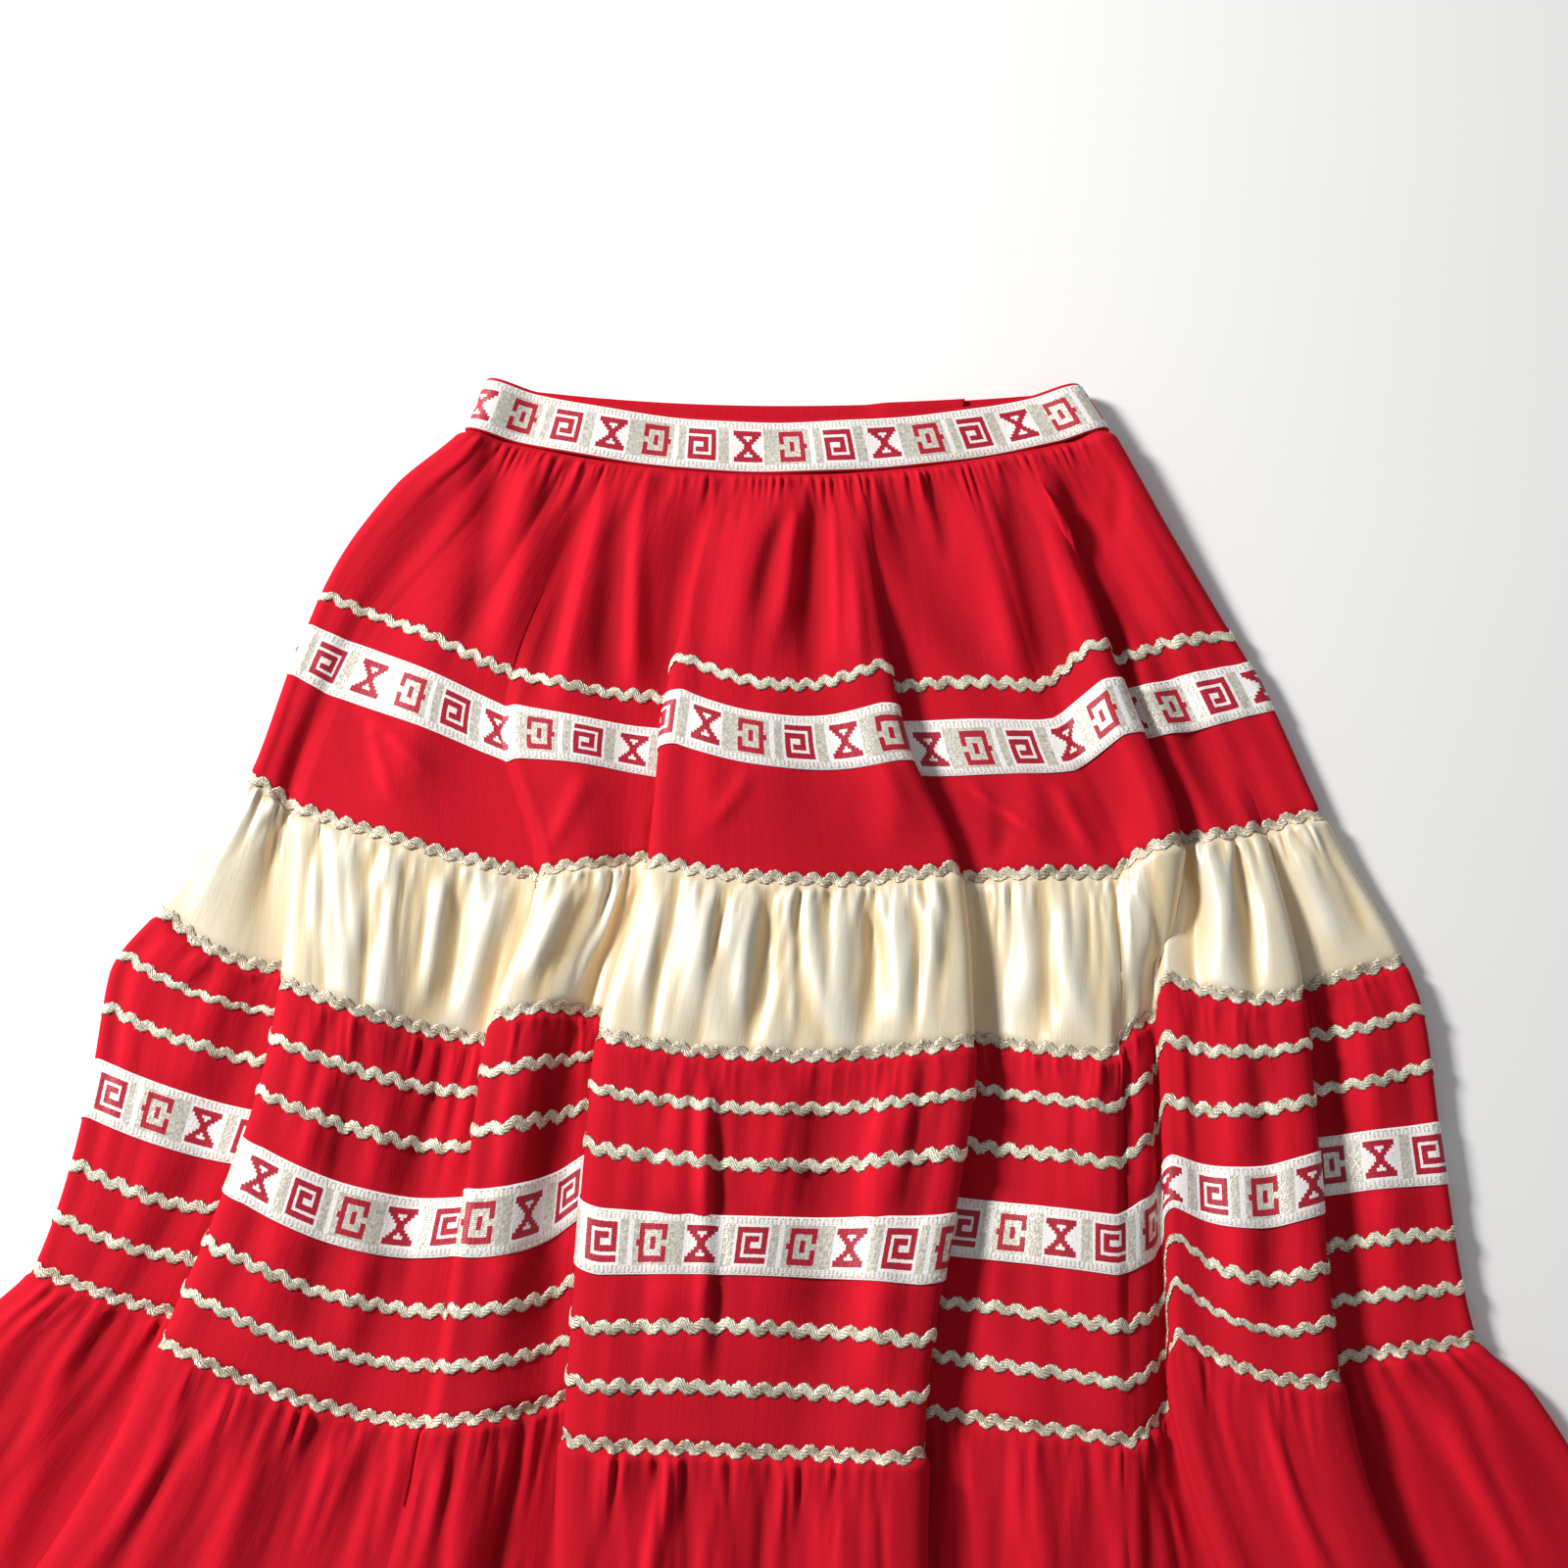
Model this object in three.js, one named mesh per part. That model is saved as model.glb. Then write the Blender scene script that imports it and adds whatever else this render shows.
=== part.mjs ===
// Tiered square dance skirt, laid flat on a table: four gathered tiers sewn into one tube,
// a waistband lapped at the back, woven ribbon and rows of rickrack sewn round it.
// Millimetres, +Z up. X runs across the skirt, +Y points from the hem to the waist.
// The skirt rests on its back. Its front lies on the back in overlapping folds.

import * as THREE from 'three';

// Cloth and trims
const CLOTH = 1.2; // thickness of every cloth wall
const TRIM = 0.8; // thickness of ribbon and rickrack
const SEAM_GAP = 0.4; // between two tiers, along the skirt
const TRIM_GAP = 0.4; // between a trim and the cloth under it
const GATHERED_TRIM_GAP = 0.8; // the same where the cloth under it is gathered
const RIBBON_WIDTH = 25.4;
const RICKRACK_WIDTH = 6.5;
const BAND_WIDTH = 28;

// How a folded edge is drawn
const FOLD_REACH = 3; // half the width of the cloth strip that turns at a fold, before it laps
const TURN_RADIUS = 2.7; // of the cloth at the two turns of a fold, which sets how far it laps
const CLEAR_RISE = 5; // rise from which one layer is clearly on top
const FULL_FOLD = 14; // rise from which the layers of a fold lie nearly level
const FULL_FOLD_EASE = 0.8; // 0 gives an even slope through a full fold, 1 level layers
const FOLD_STEPS = [-0.72, -0.5, -0.28, 0, 0.28, 0.5, 0.72];
const SIDE_CREST = 5; // extra height of the round fold down each side
const SIDE_ANGLES = [-35, 0, 35];
const FALL = 0.8; // share of a panel over which it comes down from its raised edge
const BACK_COLUMNS = 8;

// Gathers, below the seam at the top of each tier
const GATHER_HEIGHTS = [null, 2.4, 0]; // in the first rows of each tier, from the seam down

// Middle of the laid-out skirt in the drawing below, which becomes the origin
const LAY_CENTRE = { x: -17.5, y: -134 };

// Side edges of the skirt, and how far down the cloth each row of the table lies
const EDGES = [
  { down: -28, left: -144, right: 143 },
  { down: 0, left: -154, right: 157 },
  { down: 36, left: -186, right: 174 },
  { down: 80, left: -210, right: 197 },
  { down: 136, left: -230, right: 225 },
  { down: 198, left: -250, right: 250 },
  { down: 278, left: -288, right: 284 },
  { down: 312, left: -308, right: 292 },
  { down: 360, left: -314, right: 296 },
  { down: 445, left: -334, right: 306 },
  { down: 470, left: -354, right: 328 },
  { down: 610, left: -430, right: 395 },
];

// The lay of the whole tube at each level: the height of the row at its left, middle and
// right, how high the front lies (loft), and how much further up the back lies.
const LEVELS = [
  { down: -28, yLeft: 201, yMiddle: 178, yRight: 198, loft: 9, backUp: 12 },
  { down: 0, yLeft: 174, yMiddle: 152, yRight: 174, loft: 9, backUp: 11 },
  { down: 136, yLeft: 64, yMiddle: 16, yRight: 46, loft: 3, backUp: 4 },
  { down: 198, yLeft: 0, yMiddle: -49, yRight: -17, loft: 3, backUp: 0 },
  { down: 278, yLeft: -65, yMiddle: -133, yRight: -87, loft: 3, backUp: 0 },
  { down: 445, yLeft: -226, yMiddle: -301, yRight: -257, loft: 3, backUp: 0 },
  { down: 610, yLeft: -350, yMiddle: -462, yRight: -400, loft: 3, backUp: 0 },
];

// Folds in the front, left to right, with a value for each level above. x is the fold's
// visible edge. rise is how far the cloth steps up to the right there, and down where it is
// negative: from about 9 the higher panel laps over the lower. crest raises both sides
// alike, so alone it makes a plain ridge.
const FOLDS = [
  {
    name: 'far_left',
    x: [-120, -128, -205, -226, -228, -272, -345],
    rise: [0, 0, 0, 3, 14, 16, 16],
    crest: [0, 0, 2, 0, 0, 0, 0],
  },
  {
    name: 'left',
    x: [-80, -86, -128, -110, -131, -153, -190],
    rise: [0, 0, 3, 4, 13, 4, 0],
    crest: [0, 0, 2, 2, 1, 9, 12],
  },
  {
    name: 'middle_left',
    x: [-32, -34, -56, -62, -83, -95, -104],
    rise: [0, 0, 14, 12, 15, 17, 17],
    crest: [0, 0, 0, 0, 0, 0, 0],
  },
  {
    name: 'middle_right',
    x: [32, 34, 55, 80, 85, 60, 62],
    rise: [0, 0, -14, -9, -15, -17, -17],
    crest: [0, 0, 0, 0, 0, 0, 0],
  },
  {
    name: 'ridge',
    x: [80, 86, 128, 150, 149, 149, 152],
    rise: [0, 0, 0, 0, -4, 0, 0],
    crest: [0, 0, 2, 5, 7, 10, 12],
  },
  {
    name: 'right',
    x: [104, 112, 162, 182, 173, 172, 215],
    rise: [0, 0, -15, -15, 6, 8, 12],
    crest: [0, 0, 0, 0, 1, 0, 0],
  },
  {
    name: 'far_right',
    x: [122, 132, 196, 219, 235, 242, 300],
    rise: [0, 0, 2, -4, -14, -16, -16],
    crest: [0, 0, 3, 2, 0, 0, 0],
  },
];

// Panels between the folds. columns is the number of gathers across each. startDip and
// endDip are how far its row lies above the plain arc at its left and right, at each
// level. swell is the height of a soft ridge at the share `at` of its width.
const PANELS = [
  {
    name: 'a', columns: 3, swell: 2, at: 0.5,
    startDip: [0, 0, 0, 0, 0, 0, 0],
    endDip: [0, 0, -2, -6, 2, 6, 6],
  },
  {
    name: 'b', columns: 4, swell: 4, at: 0.45,
    startDip: [0, 0, -2, -6, -9, -8, -8],
    endDip: [0, 0, -8, -6, -5, -7, -12],
  },
  {
    name: 'c', columns: 4, swell: 3, at: 0.4,
    startDip: [0, 0, -8, -5, 6, -7, -12],
    endDip: [0, 0, -5, 9, 15, 14, 8],
  },
  {
    name: 'd', columns: 7, swell: 5, at: 0.42,
    startDip: [0, 0, 9, 2, 3, -3, -6],
    endDip: [0, 0, 1, 1, 2, -4, -8],
  },
  {
    name: 'e', columns: 5, swell: 3, at: 0.5,
    startDip: [0, 0, -2, -2, 9, 9, 4],
    endDip: [0, 0, -9, -8, -9, -8, -12],
  },
  {
    name: 'f', columns: 2, swell: 2, at: 0.5,
    startDip: [0, 0, -9, -8, 0, -8, -12],
    endDip: [0, 0, 0, -1, 6, 12, 6],
  },
  {
    name: 'g', columns: 3, swell: 5, at: 0.5,
    startDip: [0, 0, 2, 7, 16, 18, 8],
    endDip: [0, 0, 0, -2, -3, -2, -4],
  },
  {
    name: 'h', columns: 3, swell: 2, at: 0.5,
    startDip: [0, 0, 0, 0, 3, 6, 4],
    endDip: [0, 0, 0, 0, 0, 0, 0],
  },
];

// Tiers of the tube, with the heights at which each is drawn, and how many of these rows
// carry the gathers. A ribbon's two edges are rows, so it lies flat between them.
const TIERS = [
  { name: 'tier_1_red', gathered: 2, rows: [0, 26, 62, 104, 123.3, 148.7, 198] },
  { name: 'tier_2_cream', gathered: 2, rows: [198, 222, 254, 278] },
  { name: 'tier_3_red', gathered: 3, rows: [278, 299, 335, 350.3, 375.7, 445] },
  { name: 'tier_4_red', gathered: 2, rows: [445, 470, 525, 610] },
];

// Trims sewn on each tier, with the height of the middle of each. Those at a seam lie on
// the tier above it, just clear of the gathers below.
const TRIMS = [
  { name: 'rickrack_tier_1', on: 'tier_1_red', down: 108, width: RICKRACK_WIDTH },
  { name: 'ribbon_tier_1', on: 'tier_1_red', down: 136, width: RIBBON_WIDTH },
  { name: 'rickrack_seam_1_2', on: 'tier_1_red', down: 194.3, width: RICKRACK_WIDTH },
  { name: 'rickrack_seam_2_3', on: 'tier_2_cream', down: 274.3, width: RICKRACK_WIDTH },
  { name: 'rickrack_tier_3_first', on: 'tier_3_red', down: 302.8, width: RICKRACK_WIDTH, gap: GATHERED_TRIM_GAP },
  { name: 'rickrack_tier_3_second', on: 'tier_3_red', down: 328, width: RICKRACK_WIDTH, gap: GATHERED_TRIM_GAP },
  { name: 'ribbon_tier_3', on: 'tier_3_red', down: 363, width: RIBBON_WIDTH },
  { name: 'rickrack_tier_3_third', on: 'tier_3_red', down: 396, width: RICKRACK_WIDTH },
  { name: 'rickrack_tier_3_fourth', on: 'tier_3_red', down: 420, width: RICKRACK_WIDTH },
  { name: 'rickrack_seam_3_4', on: 'tier_3_red', down: 441.3, width: RICKRACK_WIDTH },
];

// The waistband's two ends lap inside the back: the end of its left half on the right one
const BAND = { innerEnd: 88, outerEnd: 56, lapClimb: 14, lapHeight: 1.5 };
const BAND_RIBBON = { name: 'waist_ribbon', down: -13.6, width: RIBBON_WIDTH };
const BAND_FRONT_COLUMNS = 14;

const COTTON_RED = new THREE.MeshStandardMaterial({ color: 0xc4121f, roughness: 0.62, metalness: 0 });
const COTTON_CREAM = new THREE.MeshStandardMaterial({ color: 0xe9dfc0, roughness: 0.45, metalness: 0 });
const RIBBON = new THREE.MeshStandardMaterial({ color: 0xe6e2dc, roughness: 0.5, metalness: 0.2 });
const RICKRACK = new THREE.MeshStandardMaterial({ color: 0xbdb6a4, roughness: 0.4, metalness: 0.5 });

const between = (a, b, share) => a + (b - a) * share;
const smooth = (share) => share * share * (3 - 2 * share);
const clamp = (value) => Math.min(1, Math.max(0, value));

// The pair of rows of a table around a height, and the share of the way between them
function rowsAround(table, down) {
  const found = table.findIndex((row) => row.down >= down);
  const index = found < 0 ? table.length - 1 : Math.max(found, 1);
  const upper = table[index - 1];
  return { index, share: (down - upper.down) / (table[index].down - upper.down) };
}

function tableValue(table, name, down) {
  const { index, share } = rowsAround(table, down);
  return between(table[index - 1][name], table[index][name], share);
}

const edgeAt = (side, down) => tableValue(EDGES, side, down);
const levelValue = (name, down) => tableValue(LEVELS, name, down);

// A value from a list that has one entry for each level
function listValue(list, down) {
  const { index, share } = rowsAround(LEVELS, down);
  return between(list[index - 1], list[index], share);
}

const sideOf = (x) => (x < 0 ? 'left' : 'right');

// Height of a row above the plain arc from its left edge through its middle to its right
function arcHeight(x, down) {
  const middle = levelValue('yMiddle', down);
  const edge = levelValue(x < 0 ? 'yLeft' : 'yRight', down);
  return middle + (edge - middle) * (x / edgeAt(sideOf(x), down)) ** 2;
}

// A fold at one height: where the cloth enters and leaves it, and how far it laps
function foldAt(fold, down) {
  const rise = listValue(fold.rise, down);
  const crest = listValue(fold.crest, down);
  const ease = FULL_FOLD_EASE * smooth(clamp(Math.abs(rise) / FULL_FOLD));
  const lap = (rise * (1 + ease) / (2 * Math.PI)) ** 2 / TURN_RADIUS;
  const lean = Math.min(1, Math.max(-1, rise / CLEAR_RISE));
  const centre = listValue(fold.x, down) + lean * (lap - 0.5 * FOLD_REACH);
  return {
    ease, lap, centre,
    start: centre - FOLD_REACH,
    end: centre + FOLD_REACH,
    startHeight: crest + Math.max(0, -rise),
    endHeight: crest + Math.max(0, rise),
  };
}

const sideRadius = (down) => (levelValue('loft', down) + SIDE_CREST - CLOTH / 2) / 2;

// How much of a raised edge is left at this share of a panel's width
const fallFrom = (share) => smooth(clamp(1 - share / FALL));

function swellAt(panel, share, down) {
  const near = clamp(1 - Math.abs(share - panel.at) / 0.4);
  return panel.swell * smooth(near) * clamp(down / 136);
}

function panelPoint(index, share, down, gather) {
  const radius = sideRadius(down);
  const left = index > 0 ? foldAt(FOLDS[index - 1], down)
    : { end: edgeAt('left', down) + radius, endHeight: SIDE_CREST };
  const right = index < FOLDS.length ? foldAt(FOLDS[index], down)
    : { start: edgeAt('right', down) - radius, startHeight: SIDE_CREST };
  const panel = PANELS[index];
  const x = between(left.end, right.start, share);
  const dip = between(listValue(panel.startDip, down), listValue(panel.endDip, down), share);
  const z = levelValue('loft', down) + left.endHeight * fallFrom(share)
    + right.startHeight * fallFrom(1 - share) + swellAt(panel, share, down) + gather;
  return new THREE.Vector3(x, arcHeight(x, down) + dip, z);
}

// turn runs from -1, where the cloth enters the fold, to 1, where it leaves
function foldPoint(index, turn, down) {
  const fold = foldAt(FOLDS[index], down);
  const x = fold.centre + FOLD_REACH * turn - fold.lap * Math.sin(Math.PI * turn);
  const climb = (turn + 1 - fold.ease * Math.sin(2 * Math.PI * turn) / (2 * Math.PI)) / 2;
  const z = levelValue('loft', down) + between(fold.startHeight, fold.endHeight, climb);
  const dip = between(listValue(PANELS[index].endDip, down),
    listValue(PANELS[index + 1].startDip, down), smooth((turn + 1) / 2));
  return new THREE.Vector3(x, arcHeight(x, down) + dip, z);
}

// angle runs from -90 degrees under the side fold, through 0 at its edge, to 90 on top
function sidePoint(name, angle, down) {
  const radius = sideRadius(down);
  const edge = edgeAt(name, down);
  const inward = Math.sign(edge) * -1;
  const turn = THREE.MathUtils.degToRad(angle);
  const x = edge + inward * radius * (1 - Math.cos(turn));
  const under = (1 - Math.sin(turn)) / 2;
  const y = between(arcHeight(x, down), backHeight(x, down), under);
  return new THREE.Vector3(x, y, CLOTH / 2 + radius * (1 + Math.sin(turn)));
}

function backHeight(x, down) {
  const spread = 1 - (x / edgeAt(sideOf(x), down)) ** 2;
  return arcHeight(x, down) + levelValue('backUp', down) * spread;
}

function backPoint(share, down) {
  const radius = sideRadius(down);
  const x = between(edgeAt('right', down) - radius, edgeAt('left', down) + radius, share);
  return new THREE.Vector3(x, backHeight(x, down), CLOTH / 2);
}

// A fold that laps at some height is drawn as a turn, and a plain ridge as one line
const foldSteps = (fold) => (fold.rise.some((rise) => Math.abs(rise) > CLEAR_RISE) ? FOLD_STEPS : [0]);

// Columns of a ring in order: left side, front, right side, back. place() gives a
// column's point at a height, along its rank, and gathered ones stand only in some rows.
function ringColumns() {
  const columns = [];
  const add = (kind, place) => columns.push({ kind, place, along: columns.length });
  const side = (name, angles) => angles.forEach((angle) => {
    add(angle < 0 ? 'under' : 'side', (down) => sidePoint(name, angle, down));
  });
  side('left', SIDE_ANGLES);
  PANELS.forEach((panel, index) => {
    for (let step = 0; step <= panel.columns; step += 1) {
      const share = step / panel.columns;
      add('front', (down) => panelPoint(index, share, down, 0));
      if (step < panel.columns) {
        const middle = (step + 0.5) / panel.columns;
        add('gather', (down, height) => panelPoint(index, middle, down, height));
      }
    }
    if (index < FOLDS.length) {
      foldSteps(FOLDS[index]).forEach((turn) => add('front', (down) => foldPoint(index, turn, down)));
    }
  });
  side('right', [...SIDE_ANGLES].reverse());
  for (let step = 0; step <= BACK_COLUMNS; step += 1) {
    add('back', (down) => backPoint(step / BACK_COLUMNS, down));
  }
  return columns;
}

// Which way the cloth faces at each point of a row: square to the row and to the run of
// the cloth down the skirt. The back faces straight down, so it rests flat.
function rowNormals(columns, points, runs, closed) {
  const count = points.length;
  return points.map((point, index) => {
    if (columns[index].kind === 'back') return new THREE.Vector3(0, 0, -1);
    const before = closed || index > 0 ? points[(index + count - 1) % count] : point;
    const after = closed || index < count - 1 ? points[(index + 1) % count] : point;
    const along = new THREE.Vector3();
    along.add(point.clone().sub(before).normalize()).add(after.clone().sub(point).normalize());
    return runs[index].clone().cross(along).normalize();
  });
}

const DOWN_STEP = 1;

// A row of the cloth. At the edge of a piece it lies half the seam's gap in from the seam,
// and its thickness keeps square to the seam, so the gap between two pieces stays even.
function makeRow(columns, down, { gather = 0, inset = 0, closed = true } = {}) {
  const placeAll = (height) => columns.map((column) => column.place(height, gather));
  const runs = placeAll(down + DOWN_STEP).map((below, i) => below.sub(columns[i].place(down - DOWN_STEP, gather)));
  const normals = rowNormals(columns, placeAll(down), runs, closed);
  if (inset) normals.forEach((normal) => normal.setY(0).normalize());
  return { down: down + inset, columns, points: placeAll(down + inset), normals };
}

// A row of a trim: the cloth's own row at a height between two of its drawn rows, along
// the columns that both of them have
function rowOnCloth(rows, down, keep) {
  const next = rows.findIndex((row) => row.down > down);
  const [upper, lower] = [rows[next - 1], rows[next]];
  const share = (down - upper.down) / (lower.down - upper.down);
  const columns = upper.columns.filter((column) => lower.columns.includes(column) && keep(column));
  const blend = (list) => columns.map((column) => list(upper)[upper.columns.indexOf(column)].clone()
    .lerp(list(lower)[lower.columns.indexOf(column)], share));
  return { columns, points: blend((row) => row.points), normals: blend((row) => row.normals) };
}

// Triangles between two closed rows of columns, which may differ in number
function stitch(upper, lower, upperStart, lowerStart) {
  const triangles = [];
  const rank = (row, index) => (index < row.columns.length ? row.columns[index].along : Infinity);
  let i = 0;
  let j = 0;
  while (i < upper.columns.length || j < lower.columns.length) {
    const top = upperStart + (i % upper.columns.length);
    const bottom = lowerStart + (j % lower.columns.length);
    const lowerIsNext = i >= upper.columns.length
      || (j < lower.columns.length && rank(lower, j + 1) <= rank(upper, i + 1));
    if (lowerIsNext) {
      j += 1;
      triangles.push([top, bottom, lowerStart + (j % lower.columns.length)]);
    } else {
      i += 1;
      triangles.push([top, bottom, upperStart + (i % upper.columns.length)]);
    }
  }
  return triangles;
}

function meshFrom(name, points, triangles, material) {
  const geometry = new THREE.BufferGeometry();
  geometry.setFromPoints(points);
  geometry.setIndex(triangles.flat());
  geometry.computeVertexNormals();
  const mesh = new THREE.Mesh(geometry, material);
  mesh.name = name;
  return mesh;
}

// A tube of cloth of even thickness through rows of points, open at both ends
function clothTube(name, rows, material) {
  const outer = rows.flatMap((row) => row.points.map((p, i) => p.clone().addScaledVector(row.normals[i], CLOTH / 2)));
  const inner = rows.flatMap((row) => row.points.map((p, i) => p.clone().addScaledVector(row.normals[i], -CLOTH / 2)));
  const starts = rows.map((_, index) => rows.slice(0, index).reduce((sum, row) => sum + row.points.length, 0));
  const faces = rows.slice(1).flatMap((row, index) => stitch(rows[index], row, starts[index], starts[index + 1]));
  const shift = outer.length;
  const triangles = [...faces, ...faces.map(([a, b, c]) => [a + shift, c + shift, b + shift])];
  const rim = (start, count, isTop) => {
    for (let i = 0; i < count; i += 1) {
      const a = start + i;
      const b = start + ((i + 1) % count);
      if (isTop) triangles.push([a, b, b + shift], [a, b + shift, a + shift]);
      else triangles.push([b, a, a + shift], [b, a + shift, b + shift]);
    }
  };
  rim(starts[0], rows[0].points.length, true);
  rim(starts[rows.length - 1], rows[rows.length - 1].points.length, false);
  return meshFrom(name, [...outer, ...inner], triangles, material);
}

// A flat bar between an upper and a lower row, from one distance off the cloth to another
function stripBetween(name, upper, lower, near, far, material) {
  const corner = (row, distance) => row.points.map((p, i) => p.clone().addScaledVector(row.normals[i], distance));
  const lines = [corner(upper, far), corner(lower, far), corner(lower, near), corner(upper, near)];
  const count = upper.points.length;
  const at = (line, index) => line * count + index;
  const triangles = [];
  for (let line = 0; line < 4; line += 1) {
    const next = (line + 1) % 4;
    for (let i = 0; i < count - 1; i += 1) {
      const far = line < 2 ? at(next, i + 1) : at(line, i + 1);
      const corner = line < 2 ? at(line, i) : at(next, i);
      triangles.push([at(line, i), at(next, i), far]);
      triangles.push([corner, at(next, i + 1), at(line, i + 1)]);
    }
  }
  const last = count - 1;
  triangles.push([at(0, 0), at(3, 0), at(1, 0)], [at(1, 0), at(3, 0), at(2, 0)]);
  triangles.push([at(0, last), at(1, last), at(3, last)], [at(1, last), at(2, last), at(3, last)]);
  return meshFrom(name, lines.flat(), triangles, material);
}

function tierRows({ rows, gathered }) {
  const columns = ringColumns();
  const plain = columns.filter((column) => column.kind !== 'gather');
  const last = rows.length - 1;
  return rows.map((down, index) => {
    if (index === 0) return makeRow(plain, down, { inset: SEAM_GAP / 2 });
    if (index === last) return makeRow(plain, down, { inset: -SEAM_GAP / 2 });
    if (index < gathered) return makeRow(columns, down, { gather: GATHER_HEIGHTS[index] });
    return makeRow(plain, down);
  });
}

// Trims run over the front and end in the fold down each side
const underTrim = (column) => column.kind !== 'back' && column.kind !== 'under';

function makeTrim({ name, down, width, gap = TRIM_GAP }, rows, material) {
  const near = CLOTH / 2 + gap;
  const upper = rowOnCloth(rows, down - width / 2, underTrim);
  const lower = rowOnCloth(rows, down + width / 2, underTrim);
  return stripBetween(name, upper, lower, near, near + TRIM, material);
}

// The waistband's front lies in one low curve with no folds
function bandFrontPoint(share, down) {
  const radius = sideRadius(down);
  const x = between(edgeAt('left', down) + radius, edgeAt('right', down) - radius, share);
  const height = levelValue('loft', down) + SIDE_CREST * (fallFrom(share * 6) + fallFrom((1 - share) * 6));
  return new THREE.Vector3(x, arcHeight(x, down), height);
}

function bandBackPoint(x, down, height) {
  return new THREE.Vector3(x, backHeight(x, down), CLOTH / 2 + height);
}

function bandColumns() {
  const columns = [];
  const add = (kind, place) => columns.push({ kind, place, along: columns.length });
  const { innerEnd, outerEnd, lapClimb, lapHeight } = BAND;
  const side = (name, angles) => angles.forEach((angle) => {
    add(angle < 0 ? 'under' : 'side', (down) => sidePoint(name, angle, down));
  });
  add('back', (down) => bandBackPoint(innerEnd, down, lapHeight));
  add('back', (down) => bandBackPoint(outerEnd - 2, down, lapHeight));
  add('back', (down) => bandBackPoint(outerEnd - 2 - lapClimb, down, 0));
  for (let step = BACK_COLUMNS / 2; step <= BACK_COLUMNS; step += 1) {
    add('back', (down) => backPoint(step / BACK_COLUMNS, down));
  }
  side('left', SIDE_ANGLES);
  for (let step = 0; step <= BAND_FRONT_COLUMNS; step += 1) {
    add('front', (down) => bandFrontPoint(step / BAND_FRONT_COLUMNS, down));
  }
  side('right', [...SIDE_ANGLES].reverse());
  for (let step = 0; step <= BACK_COLUMNS / 4; step += 1) {
    add('back', (down) => backPoint(step / BACK_COLUMNS, down));
  }
  add('back', (down) => bandBackPoint(outerEnd, down, 0));
  return columns;
}

function bandRows() {
  const columns = bandColumns();
  const top = makeRow(columns, -BAND_WIDTH, { closed: false });
  return [top, makeRow(columns, 0, { inset: -SEAM_GAP, closed: false })];
}

const skirt = new THREE.Group();

const [bandTop, bandBottom] = bandRows();
skirt.add(stripBetween('waistband', bandTop, bandBottom, -CLOTH / 2, CLOTH / 2, COTTON_RED));
skirt.add(makeTrim(BAND_RIBBON, [bandTop, bandBottom], RIBBON));

TIERS.forEach((tier) => {
  const rows = tierRows(tier);
  skirt.add(clothTube(tier.name, rows, tier.name.endsWith('cream') ? COTTON_CREAM : COTTON_RED));
  TRIMS.filter((trim) => trim.on === tier.name).forEach((trim) => {
    skirt.add(makeTrim(trim, rows, trim.name.startsWith('ribbon') ? RIBBON : RICKRACK));
  });
});
skirt.position.set(-LAY_CENTRE.x, -LAY_CENTRE.y, 0);

export default skirt;
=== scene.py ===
"""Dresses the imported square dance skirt, laid flat on a table, in its cloth and trims.

The skirt is a tube of cloth. Two numbers name a spot on it:
  place  0 to 18, round the tube: the fold down its left side, then the panels of its front
         and the folds between them, the fold down its right side, and its back
  down   millimetres of cloth below the waist seam
lay() gives the point of the cloth there, surface() adds its gathers and creases, and every
piece is worked out from these. The tables are in millimetres, in the drawing of the skirt
whose origin lies DRAWING_SHIFT away from the frame's.
"""

import math

import bpy
import numpy as np
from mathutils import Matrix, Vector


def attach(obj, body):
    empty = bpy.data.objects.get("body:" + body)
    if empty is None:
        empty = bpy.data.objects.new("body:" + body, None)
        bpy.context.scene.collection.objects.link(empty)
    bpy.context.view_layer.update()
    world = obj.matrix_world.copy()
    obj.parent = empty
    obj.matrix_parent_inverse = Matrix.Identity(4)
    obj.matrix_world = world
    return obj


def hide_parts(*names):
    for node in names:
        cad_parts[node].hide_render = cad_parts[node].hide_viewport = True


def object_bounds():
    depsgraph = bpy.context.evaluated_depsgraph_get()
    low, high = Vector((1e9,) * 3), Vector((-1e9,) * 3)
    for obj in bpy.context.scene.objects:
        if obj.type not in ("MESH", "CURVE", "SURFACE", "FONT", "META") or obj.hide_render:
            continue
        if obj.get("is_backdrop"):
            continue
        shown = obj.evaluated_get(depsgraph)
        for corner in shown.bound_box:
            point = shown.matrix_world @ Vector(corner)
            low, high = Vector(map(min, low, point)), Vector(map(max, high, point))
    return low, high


bl_info = {
    "name": "Square dance skirt",
    "version": (1, 0, 0),
    "blender": (4, 5, 0),
    "location": "View3D > Sidebar > Skirt",
    "description": "Builds the cloth, ribbon and rickrack of a tiered square dance skirt",
    "category": "Object",
}

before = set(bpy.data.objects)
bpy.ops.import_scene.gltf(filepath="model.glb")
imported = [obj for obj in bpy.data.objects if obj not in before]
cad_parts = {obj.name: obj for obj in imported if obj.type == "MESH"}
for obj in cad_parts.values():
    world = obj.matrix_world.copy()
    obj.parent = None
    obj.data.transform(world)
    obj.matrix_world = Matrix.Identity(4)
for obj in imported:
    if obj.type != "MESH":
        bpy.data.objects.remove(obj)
CAD_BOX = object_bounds()


# Reading the tables

def rows_of(text):
    """The words of each row of a table, without its notes, which start with a #."""
    return [line.split() for line in text.strip().splitlines() if not line.startswith("#")]


def table(text):
    """A dictionary of numbers for each row, whose keys are named in the table's first row."""
    names, *rows = rows_of(text)
    return [dict(zip(names, map(float, row))) for row in rows]


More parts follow.
